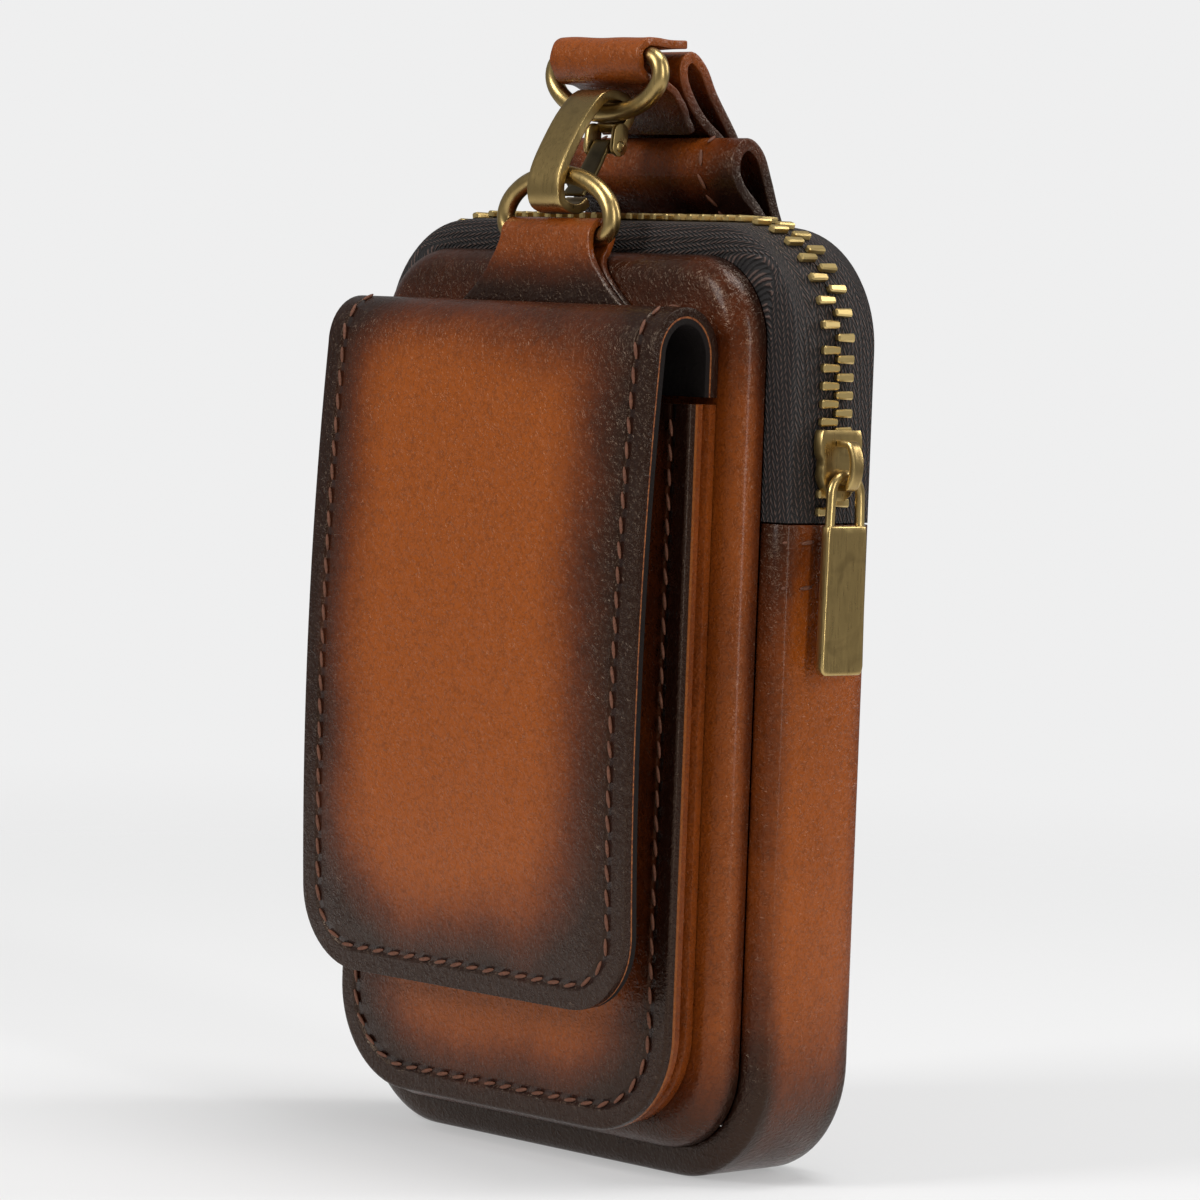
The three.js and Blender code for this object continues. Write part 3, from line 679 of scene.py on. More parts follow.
def woven_tape(name):
    """Twill tape: ribs that change direction from one narrow band to the next."""
    finish = Finish(name)
    track = finish.node("ShaderNodeUVMap", {"uv_map": "track"})
    along, across, _ = finish.axes(track)
    rib, band = 1.3 * MM, 2.6 * MM
    zigzag = abs((across / band).math("FRACT") - 0.5) * 2 * band
    twill = (along + zigzag).wave(rib)
    picks = (across + along * 0.12).wave(1.0 * MM)
    fuzz = finish.noise(2300, 3.0, 0.5)
    height = twill * 0.6 + picks * 0.5 + fuzz * 0.5
    light = (twill * picks).ramp(0.25, 0.75) * (fuzz * 1.1 + 0.1)
    shade = finish.mix(light, srgb(20, 14, 12), srgb(118, 92, 82))
    return finish.done(shade, fuzz * 0.2 + 0.55, finish.bump(height, 0.9 * MM))


def flap_burnish_and_shade(finish):
    # Partly burnish and partly painted shade: darker towards the flap's sides and bottom, and over a wider
    # band on its right side, where shade falls.
    inside = rounded_edge(finish, flap_high.x, flap_low.z, flap_high.z + 8 * MM, 30 * MM, 24 * MM)
    reach = finish.axes()[0] * 0.12 + 21 * MM
    return 1.12 - inside / reach


def pocket_burn(finish):
    inside = rounded_edge(finish, pocket_high.x, pocket_low.z, pocket_high.z, 28 * MM, 8 * MM)
    return 1.08 - inside / (17 * MM)


def stitch_groove(half, low, high, low_radius, high_radius, width=1.1 * MM):
    def groove(finish):
        inside = rounded_edge(finish, half, low, high, low_radius, high_radius)
        return 1 - abs(inside - SEAM_INSET).ramp(0.0, width)
    return groove


def rim_darkening(finish):
    """The front panel: darker where its rolled rim turns to the outer seam, towards its top and towards its
    bottom.
    """
    _, y, z = finish.axes()
    seam = y.ramp(front_low.y + 0.55 * FRONT_ROLL, front_high.y)
    top = z.ramp(PANEL_TOP - 30 * MM, PANEL_TOP)
    low = 1 - z.ramp(front_low.z, front_low.z + 26 * MM)
    return seam * 0.35 + top * 0.5 + low * 0.45 + 0.34


def band_shade_and_tone(finish):
    """The side band: painted shade darker by the seams, where the crowned band turns away, and darker towards
    the bottom and at its top ends.
    """
    _, y, z = finish.axes()
    seam = abs(y).ramp(5.5 * MM, band_high.y)
    low = 1 - z.ramp(4 * MM, 44 * MM)
    top = z.ramp(band_high.z - 24 * MM, band_high.z)
    return seam * 0.4 + low * 0.65 + top * 0.35 + 0.12


def fold_burn(_):
    """The pocket's side: the same all over."""
    return 0.42


def strap_shade_and_tone(low, high):
    """A strap: painted shade, darker at the foot of a height range, where it goes down towards the bag's top,
    and lighter again far below; also darker towards its ends in X.
    """
    def burnish_and_shade(finish):
        x, _, z = finish.axes()
        depth = z.ramp(BODY_TOP - 40 * MM, BODY_TOP - 6 * MM) * 0.45 + 0.2
        return (1 - z.ramp(low, high)) * depth + abs(x).ramp(8 * MM, 23 * MM) * 0.45 + 0.22
    return burnish_and_shade


def tab_shade(finish):
    # Painted shade: the tab darkens towards its bottom, where it goes down behind the flap's arch.
    z = finish.axes()[2]
    return (1 - z.ramp(tab_low.z, tab_high.z - 3 * MM)) * 0.7 + 0.32


flap_leather = burnished(
    "flap leather", flap_burnish_and_shade,
    groove=stitch_groove(flap_high.x, flap_low.z, flap_high.z + 8 * MM, 14 * MM, 2 * MM))
pocket_face = burnished(
    "pocket wall leather", pocket_burn,
    groove=stitch_groove(pocket_high.x, pocket_low.z, pocket_high.z + 30 * MM, 18 * MM, 2 * MM))
panel_leather = burnished("panel leather", rim_darkening, gloss=0.26)
band_leather = burnished("band leather", band_shade_and_tone, gloss=0.28)
fold_leather = burnished("pocket side leather", fold_burn, gloss=0.3)
tab_leather = burnished("tab leather", tab_shade, relief=0.14)
loop_leather = burnished("belt loop leather", strap_shade_and_tone(BODY_TOP, loop_high.z), gloss=0.3)
hanger_leather = burnished(
    "hanger leather", strap_shade_and_tone(BODY_TOP + 12 * MM, hanger_high.z + 2 * MM), gloss=0.32)
dark_edge = edge_paint("dark edge")
black_edge = edge_paint("black edge", srgb(22, 20, 20), spread=0.08)
brown_edge = raw_edge("worn edge", srgb(120, 70, 42))
tan_core = raw_edge("tan core", TAN)
tan_edge = raw_edge("raw tan edge")
# The lining: dark suede, darkened further as painted shade.
dark_lining_and_shade = suede("grey lining")
seam_thread = thread("thread")
zip_weave = woven_tape("zipper weave")
old_brass = brushed_brass("antique brass")
tooth_brass = brushed_brass(
    "tooth brass", srgb(182, 156, 104), srgb(60, 48, 30), stretch=(1, 1, 1), rough=0.34)
dark_brass = brushed_brass("dark brass", srgb(96, 84, 60), srgb(40, 34, 26), rough=0.36)


# Body shells
def panel_shell(name, side, roll, seam, material):
    """A hollow panel with a rolled rim: side is -1 for the front and 1 for the back."""
    widest = seam + side * roll * (ROLL_RATIO - 1)
    front, back = sorted((widest, seam))
    piece = rounded_slab(name, PANEL_HALF, front_low.z, PANEL_TOP, PANEL_CORNER, front, back, 18)
    step_face(piece, side, [*quarter(roll, roll, ROLL_STEPS), *PANEL_PADDING], drop=False)
    step_face(piece, -side, [(SEAM_LIP, 0.0)], drop=True)
    thicken(piece, LEATHER_WALL)
    finish_piece(piece, "bag", name.replace("shell", "panel"), [material])


def crown_out(point):
    """Rounds the side band out between its seams, but not where it lies on the floor."""
    flat = band_high.y - SHOULDER
    share = max(0.0, 1 - (point.y / flat) ** 2)
    side = min(max((point.z - CROWN_FROM) / CROWN_FADE, 0), 1)
    if abs(point.x) > PANEL_HALF - PANEL_CORNER:
        way = Vector((math.copysign(1, point.x), 0, 0))
        if point.z > PANEL_TOP - PANEL_CORNER:
            centre = Vector((math.copysign(PANEL_HALF - PANEL_CORNER, point.x), 0, PANEL_TOP - PANEL_CORNER))
            way = (Vector((point.x, 0, point.z)) - centre).normalized()
    else:
        way = Vector((0, 0, 1)) if point.z > BODY_TOP / 2 else Vector((0, 0, 0))
    return point + way * BAND_CROWN * share * side


def band_shell(name, keep, chain_edge=None):
    """The band between the seams, cut to the heights and the side of the zipper chain that it keeps."""
    flat = band_high.y - SHOULDER
    piece = rounded_slab(name, PANEL_HALF + BULGE, 0, BODY_TOP, PANEL_CORNER + BULGE, -flat, flat)
    for side in (-1, 1):
        step_face(piece, side, quarter(BULGE, SHOULDER, SHOULDER_STEPS), drop=True)
    edit(piece)
    for k in range(-4, 5):
        cut(1, k * flat / 5)
    for height in BAND_CUTS:
        cut(2, height)
    height, upper = keep
    cut(2, height, clear_inner=upper, clear_outer=not upper)
    if chain_edge:
        y, rear = chain_edge
        cut(1, y, clear_inner=rear, clear_outer=not rear)
    leave_edit()
    move_points(piece, crown_out)
    return piece


def track_length(point):
    """How far along the zipper's track a point lies, from the right end."""
    side = PANEL_TOP - PANEL_CORNER
    x, z = abs(point.x), point.z
    straight = PANEL_HALF - PANEL_CORNER
    quarter_turn = (PANEL_CORNER + BULGE) * pi / 2
    if z < side:
        s = z - band_high.z
    elif x < straight:
        s = side - band_high.z + quarter_turn + straight - x
    else:
        s = side - band_high.z + (PANEL_CORNER + BULGE) * math.atan2(z - side, x - straight)
    total = 2 * (side - band_high.z + quarter_turn + straight)
    return s if point.x > 0 else total - s


def map_track(piece):
    """A UV map in metres: the length along the track and the way across the tape."""
    layer = piece.data.uv_layers.new(name="track")
    for loop in piece.data.loops:
        point = piece.data.vertices[loop.vertex_index].co
        depth = min(abs(abs(point.x) - band_high.x), abs(point.z - BODY_TOP)) if abs(point.y) > 8 * MM else 0
        layer.data[loop.index].uv = (track_length(point), point.y + math.copysign(min(depth, BULGE), point.y))


panel_shell("front_shell", -1, FRONT_ROLL, front_high.y, panel_leather)
panel_shell("back_shell", 1, BACK_ROLL, back_low.y, panel_leather)

band = band_shell("side_band", (band_high.z, False))
spare_slots(band)
thicken(band, LEATHER_WALL, rim=1)
round_edges(band, 0.35 * MM, 2, 60)
finish_piece(band, "bag", "gusset", [band_leather, dark_edge])

for place, rear in (("front", False), ("back", True)):
    chain_side = CHAIN_Y + (GAP / 2 if rear else -GAP / 2)
    tape = band_shell("tape_" + place, (band_high.z + GAP, True), (chain_side, rear))
    map_track(tape)
    thicken(tape, TAPE_WALL)
    finish_piece(tape, "bag", "zipper_tape_" + place, [zip_weave])


# Zipper teeth: one tooth, copied along the track
def track_frame(s):
    """The place on the tape's outside at a length along the track, and the way out of it."""
    side = PANEL_TOP - PANEL_CORNER - band_high.z
    turn = PANEL_CORNER * pi / 2
    straight = PANEL_HALF - PANEL_CORNER
    total = 2 * (side + turn + straight)
    mirror = -1 if s > total / 2 else 1
    s = min(s, total - s)
    if s < side:
        foot, out = Vector((PANEL_HALF, 0, band_high.z + s)), Vector((1, 0, 0))
    elif s < side + turn:
        angle = (s - side) / PANEL_CORNER
        out = Vector((cos(angle), 0, sin(angle)))
        foot = Vector((straight, 0, PANEL_TOP - PANEL_CORNER)) + out * PANEL_CORNER
    else:
        foot, out = Vector((straight - (s - side - turn), 0, PANEL_TOP)), Vector((0, 0, 1))
    return Vector((foot.x * mirror, 0, foot.z)), Vector((out.x * mirror, 0, out.z)), total


def tooth_shape():
    """One tooth: a rounded bar across the chain whose head narrows along the chain. Local X is out, Y across,
    Z along.
    """
    clear_selection()
    bpy.ops.mesh.primitive_cube_add(size=1)
    tooth = named("tooth")
    tooth.scale = (TOOTH_HIGH, CHAIN_HALF + 0.3 * MM, TOOTH_WIDE)
    apply_place()
    edit(tooth)
    bpy.ops.mesh.bevel(offset=TOOTH_BEVEL, segments=1, affect="EDGES")
    head = 0.3 * CHAIN_HALF
    select_where(tooth, "verts", lambda vert: vert.co.y > head and abs(vert.co.z) > 0.1 * TOOTH_WIDE)
    bpy.ops.transform.resize(value=(1, 1, TOOTH_TAPER), center_override=(0, 0, 0))
    leave_edit()
    return tooth


def copies_at(model, places):
    """Copies of a model at places, each a point and the model's three axes there. The model goes."""
    copies = []
    for point, axes in places:
        copy = model.copy()
        copy.data = model.data.copy()
        copy.matrix_world = Matrix.Translation(point) @ Matrix(axes).transposed().to_4x4()
        link(copy)
        copies.append(copy)
    bpy.data.objects.remove(model)
    return copies


def teeth_row(name, node, side):
    model = tooth_shape()
    total = track_frame(0)[2]
    count = int(total / PITCH) - 1
    start = (total - count * PITCH) / 2 + (PITCH / 2 if side > 0 else 0)
    inward = Vector((0, -side, 0))
    places = []
    for i in range(count):
        foot, out, _ = track_frame(start + i * PITCH)
        centre = foot + out * (BULGE + 0.45 * TOOTH_HIGH + BAND_CROWN)
        centre.y = CHAIN_Y + side * (CHAIN_HALF - 0.3 * MM) / 2
        places.append((centre, (out, inward, out.cross(inward))))
    row = join(copies_at(model, places), name)
    finish_piece(row, "bag", node, [tooth_brass], smooth=30)


teeth_row("teeth_front", "zipper_teeth_front", -1)
teeth_row("teeth_back", "zipper_teeth_back", 1)


# Slider and pull, made facing the front and turned to face right
TURN_RIGHT = Matrix(((0, -1, 0, 0), (1, 0, 0, 0), (0, 0, 1, 0), (0, 0, 0, 1)))


def turn_right(piece):
    """Turns a piece that faces -Y to face +X, with its middle on the chain."""
    move_points(piece, lambda point: TURN_RIGHT @ point + Vector((0, CHAIN_Y, 0)))


def slider_piece():
    middle = (slider_low.z + slider_high.z) / 2
    half = (slider_high.z - slider_low.z) / 2
    width = (slider_high.y - slider_low.y) / 2
    plate = slider_low.x + SLIDER_SETBACK
    rows = [(-plate - 0.4 * MM * dome, middle + share * half, width * wide)
            for share, wide, dome in SLIDER_ROWS]
    body = strip_sheet("slider_body", rows, 7, (-1, 0))
    edit(body)
    select_where(body, "edges", lambda edge: edge.is_boundary)
    extrude((0, SLIDER_SIDE, 0))
    leave_edit()
    thicken(body, SLIDER_WALL)
    round_edges(body, 0.22 * MM, 2, 40)
    top = slider_high.x
    base = plate + 0.2 * MM
    height = top - base
    line = [(-base, middle - BRIDGE_HALF, BRIDGE_FOOT)]
    for i in range(BRIDGE_STEPS + 1):
        turn = pi * (i / BRIDGE_STEPS - 0.5)
        rise = base + height * (0.45 + 0.55 * cos(turn))
        line.append((-rise, middle + BRIDGE_HALF * sin(turn), BRIDGE_WIDE))
    line.append((-base, middle + BRIDGE_HALF, BRIDGE_FOOT))
    bridge = strip_sheet("slider_bridge", line, 3, (0, -1))
    thicken(bridge, BRIDGE_WALL)
    round_edges(bridge, 0.25 * MM, 2, 50)
    slider = join([body, bridge], "slider")
    turn_right(slider)
    finish_piece(slider, "bag", "zipper_slider", [old_brass])


def pull_piece():
    low, high = pull_low.z, pull_high.z
    middle = (pull_low.x + pull_high.x) / 2
    half = (pull_high.y - pull_low.y) / 2
    neck = low + PULL_PLATE
    rows = [(-middle, low + rise * MM, half * share) for rise, share in ((0, 0.86), (0.7, 0.97), (1.6, 1))]
    rows += [(-middle, low + share * PULL_PLATE, half * wide) for share, wide in PULL_ROWS]
    rows += [(-middle, neck + 0.5 * MM, half * 0.9)]
    plate = strip_sheet("pull_plate", rows, 5, (-1, 0))
    thicken(plate, PULL_WALL, 0)
    round_edges(plate, 0.4 * MM, 3, 50)
    bow = PULL_EYE - PULL_WIRE
    turns = [pi * i / 20 for i in range(21)]
    arch = [Vector((bow * cos(turn), -middle, high - PULL_EYE + bow * sin(turn))) for turn in turns]
    foot = neck - 0.8 * MM
    line = [Vector((bow * 1.06, -middle, foot)), *arch, Vector((-bow * 1.06, -middle, foot))]
    wire = wire_piece("pull_wire", line, PULL_WIRE, False)
    pull = join([plate, wire], "pull")
    turn_right(pull)
    finish_piece(pull, "pull", "zipper_pull", [old_brass])


slider_piece()
pull_piece()


# Pocket
def pocket_wall():
    front, back = pocket_low.y + POCKET_ROLL, pocket_high.y
    piece = rounded_slab("pocket_wall", pocket_high.x, pocket_low.z, POCKET_CUT, POCKET_CORNER, front, back)
    step_face(piece, -1, [*quarter(POCKET_ROLL, 0.55 * MM, 4), *POCKET_PADDING], drop=False)
    edit(piece)
    cut(2, pocket_high.z, clear_outer=True, use_fill=True)
    leave_edit()
    finish_piece(piece, "bag", "pocket_front", [pocket_face], smooth=35)


def painted_edge(material):
    """Gives the pocket's leather a painted edge with a tan line near its back."""
    finish = Finish(material.name, material)
    _, y, _ = finish.axes()
    depth = y - pocket_low.y
    painted = depth.ramp(0.4 * MM, 0.8 * MM)
    line = depth.ramp(1.55 * MM, 1.7 * MM) * (1 - depth.ramp(2.2 * MM, 2.35 * MM))
    face = Sum(finish, finish.shader.inputs["Base Color"].links[0].from_socket)
    fibre = finish.noise(1900, 4.0, 0.6)
    edge = finish.mix(line, DARK_BROWN, finish.mix(fibre, TAN, CHESTNUT))
    color = finish.mix(painted, face, edge)
    finish.feed(finish.shader, "Base Color", color)


painted_edge(pocket_face)
pocket_wall()


def pocket_side():
    """The folded band round the pocket: two rounded slabs that step in towards each other."""
    front, back = fold_low.y, fold_high.y
    depth = back - front
    lip = 0.32 * depth
    folds = [(0.45 * MM, 0.06 * depth), (0.75 * MM, 0.07 * depth), (0.1 * MM, 0.1 * depth)]
    shells = []
    for name, start, side in (("rear_fold", back - lip, 1), ("front_fold", front, -1)):
        shell = rounded_slab(name, fold_high.x, fold_low.z, POCKET_CUT, FOLD_CORNER, start, start + lip)
        step_face(shell, side, [(0.01 * MM, 0.0)], drop=True)
        step_face(shell, -side, folds, drop=True)
        edit(shell)
        cut(2, pocket_high.z, clear_outer=True)
        leave_edit()
        thicken(shell, FOLD_LEATHER)
        shells.append(shell)
    sides = join(shells, "pocket_side")
    round_edges(sides, 0.3 * MM, 2, 60)
    finish_piece(sides, "bag", "pocket_gusset", [fold_leather])


pocket_side()


# Flap
def flap_front(z):
    """How far forward the flap's front leg is at a height."""
    t = (FLAP_SPRING - z) / (FLAP_SPRING - flap_low.z)
    top = FLAP_REAR - FLAP_REACH
    return (1 - t) ** 2 * top + 2 * t * (1 - t) * (top - FLAP_BOW) + t ** 2 * (top - FLAP_FOOT)


def flap_line():
    """The flap's outside from its sewn rear edge over the arch to its lower edge."""
    rear = [Vector((FLAP_REAR, FLAP_SEWN + k * (FLAP_SPRING - FLAP_SEWN) / 3)) for k in range(3)]
    arch = [Vector((FLAP_REAR - FLAP_REACH / 2 * (1 - cos(pi * i / 24)),
                    FLAP_SPRING + FLAP_ARCH * sin(pi * i / 24))) for i in range(25)]
    drop = FLAP_SPRING - flap_low.z - FLAP_CORNER
    heights = [FLAP_SPRING - drop * i / 44 for i in range(1, 45)]
    leg = [Vector((flap_front(z), z)) for z in heights]
    corner = [FLAP_CORNER * (1 - sin(pi / 2 * i / 14)) for i in range(1, 15)]
    foot = [Vector((flap_front(flap_low.z + rise), flap_low.z + rise)) for rise in corner]
    return [*rear, *arch, *leg, *foot]


def flap_rows(inward, inset):
    """Rows of a layer that lies this far inside the flap's outside and is this much smaller."""
    line = shifted(flap_line(), inward)
    rows = []
    for point, inside in zip(flap_line(), line):
        rise = max(point.y - flap_low.z, 0)
        half = flap_high.x
        if rise < FLAP_CORNER:
            half -= FLAP_CORNER - math.sqrt(max(FLAP_CORNER ** 2 - (FLAP_CORNER - rise) ** 2, 0))
        rows.append((inside.x, inside.y, half - inset))
    y, z, half = rows[-1]
    rows[-1] = (y, z + inset, half)
    return rows


def puff(point):
    """Raises the flap a little inside its stitches."""
    rise = min(point.z - flap_low.z, 30 * MM)
    edge = min(flap_high.x - abs(point.x), rise)
    share = min(max((edge - 4.5 * MM) / (5 * MM), 0), 1)
    share = share * share * (3 - 2 * share)
    return point + Vector((0, -FLAP_PUFF, 0)) * share * (1 if point.z < FLAP_SPRING else 0.5)


def flap_layer(name, node, inward, thickness, inset, materials, cuts=48):
    piece = strip_sheet(name, flap_rows(inward, inset), cuts, (1, 0))
    spare_slots(piece)
    if inward == 0:
        move_points(piece, lambda point: puff(point) if point.y < FLAP_REAR - FLAP_REACH / 2 else point)
    thicken(piece, thickness, inner=1, rim=2)
    round_edges(piece, 0.28 * thickness, 3, 55)
    finish_piece(piece, "bag", node, materials, smooth=45)


flap_layer("flap_outer", "pocket_flap", 0, FLAP_LEATHER, 0, [flap_leather, dark_lining_and_shade, dark_edge])
flap_layer("flap_core", None, FLAP_LEATHER, CORE_WALL, 0.12 * MM, [tan_core, tan_core, tan_core], 20)
flap_layer("flap_inside", "flap_lining", LINING_FROM, LINING_WALL, 0.1 * MM,
           [dark_lining_and_shade, dark_lining_and_shade, black_edge], 24)


# Tab that holds the lower ring
def tab_half(z):
    """Half of the tab's width: wide at the bottom, flaring in a curve to the ring."""
    share = min(max((BAR_Z - z) / (BAR_Z - tab_low.z), 0), 1)
    return 11.5 * MM + (tab_high.x - 11.0 * MM) * share ** 1.7


def tab_rows():
    turn = WIRE + WIRE_CLEAR + TAB_WALL / 2
    rear = front_low.y - GAP - TAB_WALL / 2
    front = rear - TAB_WALL - 0.3 * MM
    rim_y, rim_z = front_low.y + FRONT_ROLL, PANEL_TOP - FRONT_ROLL
    rim = FRONT_ROLL + GAP + TAB_WALL / 2
    points = [Vector((front, tab_low.z)), Vector((front, tab_low.z + 4 * MM))]
    points += [Vector((front - 0.1 * MM, tab_low.z + 8 * MM))]
    points += arc((RING_Y, BAR_Z), turn, [180 - 22.5 * i for i in range(9)])
    points += arc((rim_y, rim_z), rim, (124, 138, 152, 166, 180))
    points += [Vector((rear, tab_low.z + 2.6 * MM)), Vector((rear, tab_low.z))]
    return [(point.x, point.y, tab_half(point.y)) for point in centripetal(points, 3)]


def wrinkle(point):
    """Small creases across the tab where it is pinched near its bottom."""
    rise = (point.z - tab_low.z) / (tab_high.z - tab_low.z)
    amount = max(0.0, 1 - abs(rise - 0.35) / 0.4) * 0.3 * MM
    fold = noise.noise(Vector((point.x * 160, 0.3, point.z * 700)))
    return point + Vector((0, amount * fold, 0))


tab = strip_sheet("tab", tab_rows(), 30, (-1, 0))
move_points(tab, lambda point: wrinkle(point) if point.y < RING_Y - WIRE else point)
spare_slots(tab)
thicken(tab, TAB_WALL, 0, 1, 2)
round_edges(tab, 0.25 * MM, 2, 60)
finish_piece(tab, "bag", "ring_tab", [tab_leather, tan_edge, tan_edge])


# Rings
def ring_piece(name, node, box, up):
    """A D-ring: a straight bar and a bow that stands up from it or hangs down from it."""
    low, high = box
    half = high.x - WIRE
    bar = low.z + WIRE if up > 0 else high.z - WIRE
    rise = high.z - low.z - 2 * WIRE
    y = (low.y + high.y) / 2
    bow = []
    for i in range(BOW_STEPS + 1):
        angle = pi * i / BOW_STEPS
        lift = RING_CORNER + (rise - RING_CORNER) * sin(angle)
        bow.append(Vector((half * cos(angle), y, bar + up * lift)))
    left = []
    for i in range(BEND_STEPS + 1):
        angle = pi / 2 * i / BEND_STEPS
        inset, lift = RING_CORNER * (1 - cos(angle)), RING_CORNER * (1 - sin(angle))
        left.append(Vector((inset - half, y, bar + up * lift)))
    right = [Vector((-point.x, y, point.z)) for point in reversed(left)]
    ring = wire_piece(name, [*bow, *left[1:], *right[:-1]], WIRE, True)
    finish_piece(ring, "bag", node, [old_brass])


ring_piece("ring_low", "lower_ring", (low_ring_low, low_ring_high), 1)
ring_piece("ring_top", "upper_ring", (top_ring_low, top_ring_high), -1)


# Hook and gate
def hook_piece():
    """A flat band that curls over the ring's wire, runs down the front and turns up to its tip."""
    eyelet = arc((TOP_RING_Y, EYELET_Z), HOOK_CURL, [18 * i - 62 for i in range(9)])
    front = spread(HOOK_LINE, (BAND_FRONT, BAND_LOW), (TOP_RING_Y - BAND_FRONT, EYELET_Z - BAND_LOW))
    line = centripetal([*eyelet, *front], 4)
    half = hook_high.x
    rows = []
    for i, point in enumerate(line):
        share = i / (len(line) - 1)
        wide = half * (0.86 + 0.14 * min(share / 0.35, 1))
        if share > 0.85:
            wide *= 1 - 0.35 * (share - 0.85) / 0.15
        rows.append((point.x, point.y, wide))
    band_piece = strip_sheet("hook_band", rows, 6, (0, -1))
    first = band_piece.data.polygons[0]
    middle = Vector((0, TOP_RING_Y, EYELET_Z))
    if first.normal.dot(first.center - middle) < 0:
        turn_over(band_piece)
    thicken(band_piece, 2 * BAND_HALF, 0)
    round_edges(band_piece, 0.4 * MM, 3, 50)
    ears = []
    for side in (-1, 1):
        bpy.ops.mesh.primitive_cylinder_add(vertices=24, radius=EAR_RADIUS, depth=1.0 * MM)
        ear = named("ear")
        ear.rotation_euler = (0, pi / 2, 0)
        ear.location = (side * (half - 0.55 * MM), PIN_Y, PIN_Z)
        apply_place()
        edit(ear)
        select_where(ear, "verts", lambda vert: vert.co.z > PIN_Z + 0.4 * MM)
        bpy.ops.transform.translate(value=(0, 0.3 * MM, 2.4 * MM))
        leave_edit()
        round_edges(ear, 0.25 * MM, 2, 50)
        ears.append(ear)
    bpy.ops.mesh.primitive_uv_sphere_add(segments=20, ring_count=10, radius=1.0 * MM)
    rivet = named("rivet")
    rivet.scale = (0.35, 1, 1)
    rivet.location = (half - 0.05 * MM, PIN_Y, PIN_Z)
    apply_place()
    hook = join([band_piece, *ears, rivet], "hook_band")
    finish_piece(hook, "bag", "hook", [old_brass])


def gate_piece():
    """The sprung gate: a knuckle round the pin and a plate that bows out on its way to the hook's tip."""
    pivot = Vector((PIN_Y, PIN_Z))
    tip = Vector((gate_low.y + 0.6 * MM, gate_low.z + 0.5 * MM))
    half = gate_high.x
    way = (tip - pivot).normalized()
    side = Vector((-way.y, way.x))
    knuckle = [pivot + KNUCKLE * (side * cos(t) - way * sin(t))
               for t in [radians(-60 + 24 * i) for i in range(10)]]
    reach = (tip - pivot).length
    blade = []
    for share in (0.2, 0.4, 0.6, 0.8, 1.0):
        bow = 0.25 * MM * sin(pi * share) - KNUCKLE * (1 - share) ** 2
        blade.append(pivot + way * reach * share + side * bow)
    line = centripetal([*knuckle, *blade], 3)
    rows = []
    for i, point in enumerate(line):
        share = i / (len(line) - 1)
        rows.append((point.x, point.y, half * (1 - 0.25 * sin(pi * share))))
    gate = strip_sheet("gate", rows, 5, (0, -1))
    thicken(gate, GATE_WALL, 0)
    round_edges(gate, 0.18 * MM, 2, 50)
    finish_piece(gate, "gate", "hook_gate", [dark_brass])


hook_piece()
gate_piece()


# Straps: the same lines as the solids
def loop_points():
    front = [Vector((LEG_Y - (1 - share) * LOOP_LEATHER, BODY_TOP + z * MM)) for share, z in FRONT_LEG]
    start = LEG_Y - GAP - LOOP_FORWARD
    over = spread(OVER, (start, BODY_TOP), (LOOP_FORWARD, LOOP_RISE))
    rear = [Vector((LEG_Y + share * BELT_GAP, BODY_TOP + z * MM)) for share, z in REAR_LEG]
    return front, over, rear


def loop_line():
    front, over, rear = loop_points()
    return centripetal([*front, *over, *rear], 5)


def crest_points(rows):
    return spread(rows, (TOP_RING_Y, TOP_BAR_Z), (HANGER_REACH, HANGER_DROP))


def hanger_line():
    _, over, rear = loop_points()
    carrier = [*over[-3:], *rear[:5]]
    near = LOOP_LEATHER / 2 + GAP + HANGER_LEATHER / 2
    far = near + HANGER_LEATHER + 2 * GAP
    legs = [list(reversed(shifted(carrier, near + GAP / 3))), shifted(carrier, far)]
    return centripetal([*legs[0], *crest_points(CREST), *legs[1]], 5)


def keeper_line():
    turn = WIRE + WIRE_CLEAR + KEEPER_LEATHER / 2
    place = crest_points(KEEPER_LOW)
    for degrees in (255, 215, 180, 145, 110, 80):
        angle = radians(degrees)
        sag = 1.45 if degrees > 180 else 1
        place.append(Vector((TOP_RING_Y + turn * cos(angle), TOP_BAR_Z + sag * turn * sin(angle))))
    place += crest_points(KEEPER_HIGH)
    return centripetal(place, 5)


def strap_piece(name, node, line, half, thickness, outward, materials, sway=0.0):
    """A strap along a line. sway waves its width and its face a little, as worn leather does."""
    route = Route(line)
    rows = [(point.x, point.y, half * (1 + sway * sin(9 * mark / route.length * 2 * pi)))
            for point, mark in zip(line, route.marks)]
    strap = strip_sheet(name, rows, 16, outward)
    if sway:
        move_points(strap, lambda point: point + Vector((0, 0, 0.35 * MM * noise.noise(point * 120))))
    spare_slots(strap)
    thicken(strap, thickness, 0, 1, 2)
    round_edges(strap, 0.3 * MM, 3, 60)
    finish_piece(strap, "bag", node, materials)


strap_piece("belt_strap", "belt_loop", loop_line(), loop_high.x, LOOP_LEATHER, (-1, 0),
            [loop_leather, dark_lining_and_shade, black_edge])
strap_piece("hanger_strap", "hanger_loop", hanger_line(), hanger_high.x, HANGER_LEATHER, (-1, 0),
            [hanger_leather, brown_edge, black_edge])
strap_piece("keeper_strap", "hanger_keeper", keeper_line(), keeper_high.x, KEEPER_LEATHER, (0, -1),
            [hanger_leather, brown_edge, brown_edge], sway=0.012)


# Stitches
def stitch_shape():
    clear_selection()
    bpy.ops.mesh.primitive_uv_sphere_add(segments=8, ring_count=6, radius=1)
    stitch = named("stitch")
    stitch.scale = (THREAD_RADIUS, THREAD_RADIUS * 0.8, STITCH / 2)
    apply_place()
    return stitch


